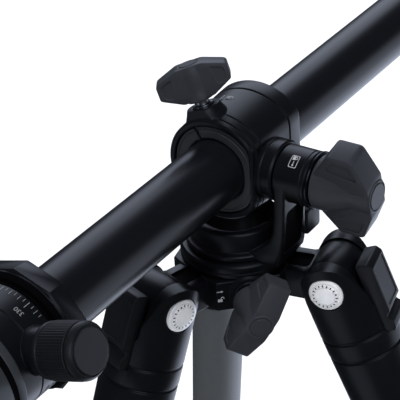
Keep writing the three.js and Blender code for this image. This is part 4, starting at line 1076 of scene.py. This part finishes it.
@dataclass
class BallHead:
    """Panning base, ball housing and quick-release clamp, about the column's end."""

    bench: Bench
    printer: Printer
    base_radius: float = 22.3
    pan_turn: float = -70.0
    ball_turn: float = 110.0
    ball_place: float = 66.0
    ball_radius: float = 17.0
    clamp_half: float = 24.0
    pan_place: float = 22.5
    lock_place: float = 56.0

    def flange(self) -> Form:
        """Flange with a band of wrench flats."""
        core = Form.turned(rounded([(5.1, -14), (12.1, -14), (12.1, 0), (22.6, 0), (23.3, 0.6), (23.3, 8.8),
                                    (24.8, 9.2), (24.8, 9.7), (5.1, 9.7)], 0.2, 2))
        band = Form.turned([(20, 0.5), (24.9, 0.5), (25.4, 1.1), (26.2, 7.8), (26.3, 8.5), (25.6, 9.3),
                            (20, 9.3)], 10)
        return core.join(band).place(HEAD_FRAME)

    def recess(self) -> Form:
        """Black stepped ring under the panning base, in the near-black finish: painted shade in the recess.
        """
        form = Form.turned([(5.1, 10.0), (24.3, 10.0), (24.6, 10.3), (23.4, 11.6), (21.2, 11.8),
                            (21.2, 12.6), (22.4, 12.8), (22.4, 13.2), (5.1, 13.2)])
        return form.place(HEAD_FRAME)

    def base(self) -> Form:
        """Panning base with the boss of its clamp knob."""
        r = self.base_radius
        form = Form.turned([(5.1, 13.5), (r - 0.4, 13.5), (r, 13.9), (r, 24.4), (r - 0.4, 24.6),
                            (r - 0.4, 25.2), (r, 25.4), (r, 34.6), (r - 0.9, 35.5),
                            (5.1, 35.5)]).place(HEAD_FRAME)
        boss = Form.turned([(0, 17), (9.0, 17), (8.8, 23.6), (8.2, 25.6), (7.6, 26.6), (0, 26.6)])
        return form.fuse(boss.place(radial(self.pan_place, self.pan_turn)))

    def scale(self) -> Form:
        """Panning scale: ticks and plain numerals."""
        form = Form()
        r = self.base_radius + 0.01
        for step in range(72):
            angle = step * 5.0
            tall = 3.2 if step % 6 == 0 else (2.3 if step % 2 == 0 else 1.5)
            near = abs((angle - self.pan_turn + 180) % 360 - 180)
            if near < 24:
                continue
            width = 0.26 if step % 6 == 0 else 0.18
            tick = Form.slab([(-width / 2, 0), (width / 2, 0), (width / 2, tall), (-width / 2, tall)], 0,
                             0.07)
            form.join(self.printer.around(tick, r, 14.6, angle))
            if step % 6 == 0 and near > 30:
                digits = self.printer.digits(str(int(angle)), 2.7)
                form.join(self.printer.around(digits, r, 20.4, angle))
        return form.place(HEAD_FRAME)

    def knob(self, knob: GripKnob, base: float, tip: float, place: float, turn: float) -> Form:
        """A grip knob with its screw on a radial axis."""
        screw = Form.turned([(0, tip), (3, tip), (3, base + 1), (0, base + 1)], 32).paint(1)
        collar = Form.turned([(3, base - 0.7), (5.2, base - 0.7), (5.2, base + 0.2), (3, base + 0.2)],
                             48).paint(1)
        return knob.form().place(moved(0, 0, base)).join(screw, collar).place(radial(place, turn))

    def housing(self) -> Form:
        """Ball housing with its mouth and drop notch."""
        form = Form.turned(rounded([(0, 35.8), (24.4, 35.8), (25.2, 36.6), (25.2, 39.8), (24.5, 40.0),
                                    (24.5, 42.4), (25.2, 42.6), (25.2, 63.0), (24.5, 67.0), (22.8, 71.0),
                                    (20.4, 74.4), (18.6, 76.0), (14.6, 76.0), (0, 76.0)], 0.25, 2), 128)
        # The groove round the housing carries the near-black finish: painted shade in the groove.
        form.paint(1, lambda centre, normal: 39.9 < centre.z < 42.5 and math.hypot(centre.x, centre.y) > 20)
        form.cut(Form.ball(self.ball_radius + 0.35).place(moved(0, 0, self.ball_place)))
        notch = Form.block((0, -6.9, self.ball_place), (32, 6.9, 80))
        form.cut(notch.fuse(Form.rod(6.9, 0, 32, 0, 64).place(moved(0, 0, self.ball_place) @ spun(90, "Y"))))
        seat = Form.turned([(0, 20), (9.6, 20), (9.4, 26.4), (8.8, 28.0), (0, 28.0)])
        form.place(HEAD_FRAME)
        hollow = Form.ball(18).place(HEAD_FRAME @ moved(0, 0, self.ball_place))
        seat.place(radial(self.lock_place, self.ball_turn)).cut(hollow)
        return form.join(seat)

    def ball(self) -> Form:
        """Polished ball with its stem."""
        stem = Form.turned([(0, 12), (8.6, 12), (7.2, 17.4), (6.0, 19.2), (5.5, 21.0), (5.5, 30.6),
                            (0, 30.6)], 64)
        return Form.ball(self.ball_radius).join(stem).place(HEAD_FRAME @ moved(0, 0, self.ball_place))

    def groove(self, spare: float, length: float) -> Form:
        """Prism of the plate and its dovetail along the clamp."""
        half, low, waist, top = 19 + spare, 101.3 - spare, 108.4, 110.3 + spare
        outline = [(-half, low), (half, low), (half - 3, waist), (half, waist), (half, top), (-half, top),
                   (-half, waist), (-half + 3, waist)]
        return Form.slab(outline, -length / 2, length / 2).place(spun(90, "Z") @ ALONG_MINUS_Y)

    def clamp(self) -> Form:
        """Fixed part of the quick-release clamp."""
        c = self.clamp_half
        form = Form.block((-c, -22, 97), (c, 11.7, 108)).bevel(1.1, 3)
        form.fuse(Form.block((-c, -31, 98), (-c + 14, -21, 108)).bevel(1.1, 3))
        form.fuse(Form.turned(rounded([(0, 94), (10.4, 94), (11.4, 95), (11.4, 98), (0, 98)], 0.4, 2)))
        form.cut(self.groove(0.3, 60), Form.rod(4.3, 104.4, 120, 0, 48).place(moved(-17, -26, 0)))
        # Three thin near-black slabs where the slots are: painted shade in the slots.
        for along in (-8, 0, 8):
            slot = Form.slab(rounded([(along - 2.4, -21.2), (along + 2.4, -21.2), (along + 2.4, -20),
                                      (along - 2.4, -20)], 0.4, 2, True), 106, 112)
            form.join(slot.paint(1))
        return form.place(HEAD_FRAME)

    def jaw(self) -> Form:
        """Moving jaw of the clamp."""
        c = self.clamp_half
        form = Form.block((-c, 12, 97), (c, 23, 108)).bevel(1.1, 3).cut(self.groove(0.3, 60))
        return form.place(HEAD_FRAME)

    def clamp_grip(self) -> Form:
        """Knob and screw that close the jaw."""
        place = HEAD_FRAME @ moved(14, 0, 97.8) @ spun(-90, "X")
        screw = Form.rod(3, 8.6, 24.5, 0.3, 32).paint(1)
        return GripKnob(9, 14, 52).form().place(moved(0, 0, 23.3)).join(screw).place(place)

    def plate(self) -> Form:
        """Quick-release plate with its dovetails and screw slot."""
        form = self.groove(0, 50).bevel(0.5, 2)
        form.cut(Form.rod(3.4, 90, 130, 0, 40), Form.rod(8.3, 100, 107.3, 0, 48))
        return form.place(HEAD_FRAME)

    def pad(self) -> Form:
        """Ribbed rubber pad on the plate."""
        outline = panel(-24, 24, -18, 18, 2.0)
        form = Form.slab(outline, 110.6, 111.6).cut(Form.rod(5.1, 90, 130, 0, 48))
        for row in range(-11, 12):
            y = row * 1.5
            for low, high in (((-23, -6) if abs(y) < 6 else (-23, 23)), ((6, 23) if abs(y) < 6 else (0, 0))):
                if high > low:
                    form.join(Form.block((low, y - 0.4, 111.4), (high, y + 0.4, 112.0)).bevel(0.15, 1))
        return form.place(HEAD_FRAME)

    def camera_screw(self) -> Form:
        """Camera screw with a thread and a coin slot."""
        thread = [(0, 101.9), (7.4, 101.9), (8.0, 102.5), (8.0, 107.0), (3.1, 107.0)]
        height = 108.0
        while height < 115.6:
            thread += [(3.1, height), (2.65, height + 0.32), (3.1, height + 0.64)]
            height += 0.9
        thread += [(2.6, 116.4), (0, 116.5)]
        form = Form.turned(thread, 48).cut(Form.block((-7, -0.9, 101), (7, 0.9, 103.4)))
        return form.place(HEAD_FRAME)

    def level(self) -> Form:
        """Bubble vial in its seat."""
        vial = Form.turned([(0, 105), (3.9, 105), (3.9, 107.3), (3.2, 107.8), (0, 107.95)], 48)
        ring = Form.turned([(1.7, 107.7), (1.85, 107.7), (1.85, 107.98), (1.7, 107.98)], 40).paint(1)
        return vial.join(ring).place(HEAD_FRAME @ moved(-17, -26, 0))

    def build(self) -> None:
        """Makes the head's pieces."""
        settle = self.bench.settle
        settle(self.flange(), "flange_ring", "column", [SATIN], ["head_flange"])
        settle(self.recess(), "recess_ring", "column", [SHADE_AND_PRINT_BLACK], ["head_step_ring"], "black_plastic")
        settle(self.base(), "panning_base", "head", [SATIN], ["head_base"])
        settle(self.scale(), "panning_scale", "head", [SCALE_INK])
        pan = self.knob(GripKnob(10.4, 19, 60), 27.6, 15.3, self.pan_place, self.pan_turn)
        settle(pan, "panning_grip", "head_pan_knob", [PLASTIC, STEEL], ["head_pan_knob"])
        settle(self.housing(), "ball_housing", "head", [GREY, SHADE_AND_PRINT_BLACK], ["head_housing"], "grey_alloy")
        grip = self.knob(GripKnob(12, 20, 66), 28.5, 18.6, self.lock_place, self.ball_turn)
        settle(grip, "ball_grip", "ball_lock_knob", [PLASTIC, STEEL], ["ball_lock_knob"])
        settle(self.ball(), "steel_ball", "ball", [STEEL], ["head_ball"], "bright_steel")
        settle(self.clamp(), "clamp_base", "clamp", [SATIN, SHADE_AND_PRINT_BLACK], ["clamp_body"])
        settle(self.level(), "bubble_vial", "clamp", [VIAL, SHADE_AND_PRINT_BLACK], ["bubble_level"], "level_vial")
        settle(self.jaw(), "clamp_lip", "clamp_jaw", [SATIN], ["clamp_jaw"])
        settle(self.clamp_grip(), "clamp_grip", "clamp_knob", [PLASTIC, STEEL], ["clamp_knob"])
        settle(self.plate(), "release_plate", "plate", [GREY], ["quick_release_plate"], "grey_alloy")
        settle(self.pad(), "ribbed_pad", "plate", [RUBBER], ["plate_pad"], "black_rubber")
        settle(self.camera_screw(), "camera_thread", "camera_screw", [STEEL], ["camera_screw"],
               "bright_steel")


# ---- legs -----------------------------------------------------------------------------------
@dataclass
class Leg:
    """One leg's pieces about its hinge: X outwards, Z up along the leg."""

    bench: Bench
    number: int
    azimuth: float
    hinge_radius: float = 45.5
    hinge_height: float = 9.9
    spread: float = 21.1
    radii: tuple[float, float, float] = (13.5, 11.6, 9.4)
    starts: tuple[float, float, float] = (31.0, 60.0, 90.0)
    ends: tuple[float, float, float] = (334.0, 366.4, 392.0)
    wall: float = 1.5
    gap: float = 0.3
    lock_overlap: float = 16.0
    lock_length: float = 31.6
    lock_radii: tuple[float, float] = (16.2, 14.6)
    foot_radius: float = 12.5
    foot_height: float = 28.0

    def place(self) -> Matrix:
        """The leg's frame."""
        hinge = moved(self.hinge_radius, 0, self.hinge_height)
        return spun(self.azimuth, "Z") @ hinge @ spun(-self.spread, "Y")

    @staticmethod
    def casting() -> Form:
        """Leg top: two ears on a round body with seams."""
        form = Form.turned(rounded([(0, 13), (17.6, 13), (17.6, -25.4), (17.0, -25.8), (17.0, -26.7),
                                    (17.6, -27.1), (17.6, -35.4), (16.8, -35.9), (16.8, -36.6),
                                    (17.5, -37.1), (17.1, -64.2), (16.2, -66), (13.7, -66), (13.7, -62),
                                    (0, -62)], 0.3, 2), 96)
        arc = [(12.0 * math.cos(math.radians(a)), 12.0 * math.sin(math.radians(a)))
               for a in range(16, 165, 4)]
        side = arc + [(-17.6, -18), (-40, -22), (-40, -90), (40, -90), (40, -22), (17.6, -18)]
        ears = Form.slab(side, -30, 30).place(ALONG_MINUS_Y)
        form.intersect(ears).bevel(0.9, 3, 60)
        for side in (-1, 1):
            form.cut(Form.rod(7.9, 15.6, 30, 0, 64).place(spun(side * 90, "X")))
        fork = Form.block((-40, -9.8, -9), (40, 9.8, 40))
        floor = Form.slab(panel(-9.8, 9.8, -15, 0, 4, 5), -40, 40)
        fork.fuse(floor.place(spun(90, "Z") @ ALONG_MINUS_Y))
        form.cut(fork)
        # The fork's inner faces carry the near-black finish: painted shade between the ears.
        room = Form.block((12.7, -8.5, -28.3), (40, 8.5, 40))
        return form.cut(room.paint(1))

    @staticmethod
    def pin() -> Form:
        """Hinge pin with domed chrome caps, each with a ring of short radial flutes carrying painted shade.
        """
        half = [(3.9, 15.9), (7.5, 15.9), (7.6, 16.6), (7.4, 17.2), (6.7, 17.7), (6.2, 17.9), (5.95, 17.7),
                (5.7, 18.05), (4.6, 18.35), (4.35, 18.15), (4.1, 18.45), (2.2, 18.65), (0, 18.7)]
        full = [(radius, -height) for radius, height in reversed(half)] + half
        flutes = [Form.block((4.75, -0.26, 17.9), (5.6, 0.26, 20)).place(spun(flip, "X") @ spun(turn, "Z"))
                  for turn in range(0, 360, 20) for flip in (0, 180)]
        return Form.turned(full, 72).cut(flutes[0].join(*flutes[1:]).paint(1)).place(ALONG_MINUS_Y)

    @staticmethod
    def tab() -> Form:
        """Angle tab with finger ridges."""
        side = rounded([(13, -28), (19.6, -28), (20.4, -26.6), (20.4, -23.2), (18.2, -21.4), (18.2, -19.8),
                        (20.5, -18.2), (20.5, 3.6), (18.6, 6), (13, 6)], 0.7, 3, True)
        form = Form.slab(side, -8.2, 8.2).bevel(0.6, 2, 50).place(ALONG_MINUS_Y)
        sunk = panel(-6.4, 6.4, -16.4, 2.6, 1.4)
        return form.cut(Form.slab(sunk, 20.2, 24).place(spun(90, "Z") @ ALONG_MINUS_Y))

    def tube(self, index: int) -> Form:
        """One leg section."""
        r, low, high = self.radii[index], -self.ends[index], -self.starts[index]
        return Form.turned([(r - self.wall, low), (r - 0.3, low), (r, low + 0.3), (r, high - 0.3),
                            (r - 0.3, high), (r - self.wall, high)], 96)

    def lock(self, index: int) -> Form:
        """Ribbed twist lock with a plain nose."""
        outer = self.lock_radii[index]
        top = self.lock_overlap - self.ends[index]
        bottom = top - self.lock_length
        wide, narrow = self.radii[index] + self.gap, self.radii[index + 1] + self.gap
        seat = -self.ends[index] - self.gap
        core = Form.turned(rounded([(narrow, bottom), (outer - 2.0, bottom), (outer - 0.6, bottom + 2.2),
                                    (outer - 0.6, bottom + 5.0), (outer - 1.1, bottom + 5.6),
                                    (outer - 1.1, top - 2.6), (outer - 0.3, top - 2.2),
                                    (outer - 0.3, top - 0.9), (outer - 1.2, top), (wide, top), (wide, seat),
                                    (narrow, seat)], 0.25, 2, True), 72)
        ring = ribbed(24, lambda phase: outer - 0.9 * (0.5 - 0.5 * phase) ** 2)
        skin = Form.slab(ring, bottom + 6, top - 3).bevel(0.5, 2, 60)
        skin.cut(Form.rod(outer - 1.6, bottom - 9, top + 9, 0, 72))
        return core.join(skin)

    def foot(self) -> Form:
        """Rubber foot with grip rings."""
        top = self.lock_overlap - self.ends[1] - self.lock_length - 2 * self.gap
        r, last = self.foot_radius, self.radii[2] + self.gap
        centre = top - self.foot_height + r
        arc = [math.radians(a) for a in range(0, 91, 9)]
        ball = [(r * math.sin(a), centre - r * math.cos(a)) for a in arc]
        rings = [(12.4, centre + 1.6), (11.9, centre + 1.9), (11.9, centre + 2.7), (12.3, centre + 3.0),
                 (12.2, centre + 4.6), (11.7, centre + 4.9), (11.7, centre + 5.7), (12.1, centre + 6.0)]
        inside = -self.ends[2] - self.gap
        rest = [(11.4, top - 0.6), (10.8, top), (last, top), (last, inside), (0, inside)]
        return Form.turned(ball + rings + rest, 72)

    def build(self, stock: dict[str, Form]) -> None:
        """Makes the leg's pieces from the shapes that all legs share."""
        body, where = f"leg_{self.number}", self.place()
        plan = [("casting", body, [SATIN, SHADE_AND_PRINT_BLACK], "satin_black"), ("hinge_pin", body, [CHROME_WITH_PAINTED_GLARE, SHADE_AND_PRINT_BLACK],
                                                                    "chrome_cap"),
                ("angle_tab", body + "_tab", [PLASTIC, SHADE_AND_PRINT_BLACK], "black_plastic"),
                ("upper_tube", body, [LEG_GREY], "leg_tube_grey"), ("upper_lock", body + "_upper_lock",
                                                                    [RUBBER], "black_rubber"),
                ("middle_tube", body + "_middle", [LEG_GREY], "leg_tube_grey"),
                ("lower_lock", body + "_lower_lock", [RUBBER], "black_rubber"),
                ("lower_tube", body + "_lower", [LEG_GREY], "leg_tube_grey"),
                ("foot", body + "_lower", [RUBBER], "black_rubber")]
        for piece, rider, finishes, slot in plan:
            name = f"{body}_{piece}"
            self.bench.settle(stock[piece].copy(where), f"finished_{name}", rider, finishes, [name], slot)

    def stock(self) -> dict[str, Form]:
        """The shapes that all legs share."""
        return {"casting": self.casting(), "hinge_pin": self.pin(), "angle_tab": self.tab(),
                "upper_tube": self.tube(0), "upper_lock": self.lock(0), "middle_tube": self.tube(1),
                "lower_lock": self.lock(1), "lower_tube": self.tube(2), "foot": self.foot()}


# ---- studio ---------------------------------------------------------------------------------
@dataclass
class Studio:
    """Pale floor, soft lights and the camera."""

    origin: Vector
    ambient: float = 0.04
    sun_energy: float = 3.4
    sun_width: float = 40.0
    sun_place: tuple[float, float, float] = (-0.6, -0.2, 2.4)
    yaw: float = 35.83
    pitch: float = 31.56
    roll: float = -4.0
    lens: float = 132.5
    glows: tuple[tuple[tuple[float, float, float], float, float, float], ...] = (((0.68, 0.50, 0.50), 8, 32,
                                                                                  1.5),
                                                                                 ((0.66, 0.00, -0.74), 8,
                                                                                  42, 1.5),
                                                                                 ((-0.83, 0.16, -0.52), 10,
                                                                                  36, 0.35),
                                                                                 ((0.66, -0.62, -0.30), 4,
                                                                                  26, 0.9),
                                                                                 ((-0.55, -0.70, 0.60), 6,
                                                                                  28, 1.2))

    def floor(self) -> None:
        """Plain pale floor under the feet."""
        form = Form()
        bmesh.ops.create_grid(form.bm, x_segments=1, y_segments=1, size=14.0)
        mesh = bpy.data.meshes.new("floor")
        form.bm.to_mesh(mesh)
        made = linked("floor", mesh)
        pale = bpy.data.materials.new("pale_floor")
        shader = principled(pale)
        shader.inputs["Base Color"].default_value = (0.93, 0.93, 0.93, 1)
        shader.inputs["Roughness"].default_value = 0.9
        shader.inputs["Specular IOR Level"].default_value = 0.0
        mesh.materials.append(pale)
        made.visible_glossy = False

    @staticmethod
    def glow(tree: bpy.types.NodeTree, view: object, axis: Sequence[float], inner: float, outer: float,
             strength: float) -> object:
        """A soft round glow on the world, like a large softbox.

        Args:
            tree: the world's node tree.
            view: the socket that gives the direction.
            axis: the glow's middle.
            inner: degrees from the middle up to which it is full.
            outer: degrees from the middle at which it ends.
            strength: its brightness.

        Returns:
            The glow's value socket.
        """
        dot = tree.nodes.new("ShaderNodeVectorMath")
        dot.operation = "DOT_PRODUCT"
        tree.links.new(view, dot.inputs[0])
        dot.inputs[1].default_value = Vector(axis).normalized()
        fade = tree.nodes.new("ShaderNodeMapRange")
        fade.interpolation_type = "SMOOTHERSTEP"
        fade.inputs["From Min"].default_value = math.cos(math.radians(outer))
        fade.inputs["From Max"].default_value = math.cos(math.radians(inner))
        fade.inputs["To Max"].default_value = strength
        tree.links.new(dot.outputs["Value"], fade.inputs["Value"])
        return fade.outputs["Result"]

    def world(self) -> None:
        """Dim cool surroundings with soft glows that the black parts reflect."""
        world = bpy.data.worlds.new("studio")
        world.use_nodes = True
        tree = world.node_tree
        background = next(node for node in tree.nodes if node.type == "BACKGROUND")
        view = tree.nodes.new("ShaderNodeTexCoord").outputs["Generated"]
        total = None
        for axis, inner, outer, strength in self.glows:
            glow = self.glow(tree, view, axis, inner, outer, strength)
            if total is None:
                total = glow
                continue
            both = tree.nodes.new("ShaderNodeMath")
            tree.links.new(total, both.inputs[0])
            tree.links.new(glow, both.inputs[1])
            total = both.outputs[0]
        lifted = tree.nodes.new("ShaderNodeMath")
        lifted.inputs[1].default_value = self.ambient
        tree.links.new(total, lifted.inputs[0])
        tint = tree.nodes.new("ShaderNodeVectorMath")
        tint.operation = "SCALE"
        tint.inputs[0].default_value = (0.82, 0.90, 1.10)
        tree.links.new(lifted.outputs[0], tint.inputs["Scale"])
        mix = tree.nodes.new("ShaderNodeMix")
        mix.data_type = "RGBA"
        mix.inputs["B"].default_value = (1, 1, 1, 1)
        rays = tree.nodes.new("ShaderNodeLightPath")
        tree.links.new(rays.outputs["Is Camera Ray"], mix.inputs["Factor"])
        tree.links.new(tint.outputs["Vector"], mix.inputs["A"])
        tree.links.new(mix.outputs["Result"], background.inputs["Color"])
        bpy.context.scene.world = world
        bpy.context.scene.view_settings.view_transform = "Standard"

    def lights(self) -> None:
        """Broad sun from above, which brings the floor to white and leaves no glint."""
        data = bpy.data.lights.new("sky", "SUN")
        data.energy, data.angle = self.sun_energy, math.radians(self.sun_width)
        lamp = linked("sky", data)
        offset = Vector(self.sun_place)
        lamp.location = self.origin + offset
        lamp.rotation_euler = offset.to_track_quat("Z", "Y").to_euler()
        lamp.visible_camera = lamp.visible_glossy = False

    def camera(self) -> None:
        """Camera above the head end, on the swing clamp's side."""
        yaw, pitch, roll = math.radians(self.yaw), math.radians(self.pitch), math.radians(self.roll)
        ahead = Vector((math.cos(yaw) * math.cos(pitch), math.sin(yaw) * math.cos(pitch), -math.sin(pitch)))
        right = Vector((math.sin(yaw), -math.cos(yaw), 0))
        up = right.cross(ahead)
        side = right * math.cos(roll) + up * math.sin(roll)
        top = up * math.cos(roll) - right * math.sin(roll)
        data = bpy.data.cameras.new("camera")
        data.lens, data.sensor_width, data.clip_start = self.lens, 36.0, 0.01
        made = linked("camera", data)
        turn = Matrix((side, top, -ahead)).transposed().to_4x4()
        place = self.origin + Vector((-0.44902, -0.30554, 0.31283 + COLUMN_HEIGHT * MM))
        made.matrix_world = Matrix.Translation(place) @ turn
        bpy.context.scene.camera = made

    def build(self) -> None:
        """Sets the studio up."""
        self.camera()
        self.floor()
        self.world()
        self.lights()


def shoulder_origin() -> Vector:
    """The shoulder axis at the hub's underside, in metres, from the pan bearing ring."""
    low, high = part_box("pan_bearing_ring")
    return Vector(((low[0] + high[0]) / 2, (low[1] + high[1]) / 2, low[2] - 0.0153))


def dress_hidden_nodes(bench: Bench) -> None:
    """Gives the solids that stay their finishes."""
    for name, finish in {"swivel_retainer": PLASTIC, "pivot_bolt": STEEL, "head_mount_stud": STEEL}.items():
        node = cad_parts[name]
        node.data.materials.clear()
        node.data.materials.append(bench.paint.material(finish))


def main() -> None:
    """Builds the tripod's looks in order."""
    logging.basicConfig(level=logging.INFO, format="%(name)s %(message)s")
    origin = shoulder_origin()
    Studio(origin).build()
    bench, printer = Bench(PaintShop(), origin), Printer()
    shoulder = Shoulder(bench, printer)
    shoulder.build()
    Swivel(bench, printer).build()
    Collar(bench, printer).build()
    CentreColumn(bench).build()
    BallHead(bench, printer).build()
    stock: dict[str, Form] = {}
    for number, azimuth in enumerate(shoulder.azimuths, 1):
        leg = Leg(bench, number, azimuth)
        stock = stock or leg.stock()
        leg.build(stock)
    dress_hidden_nodes(bench)
    LOG.info("%d pieces", bench.count)


if __name__ == "__main__":
    main()
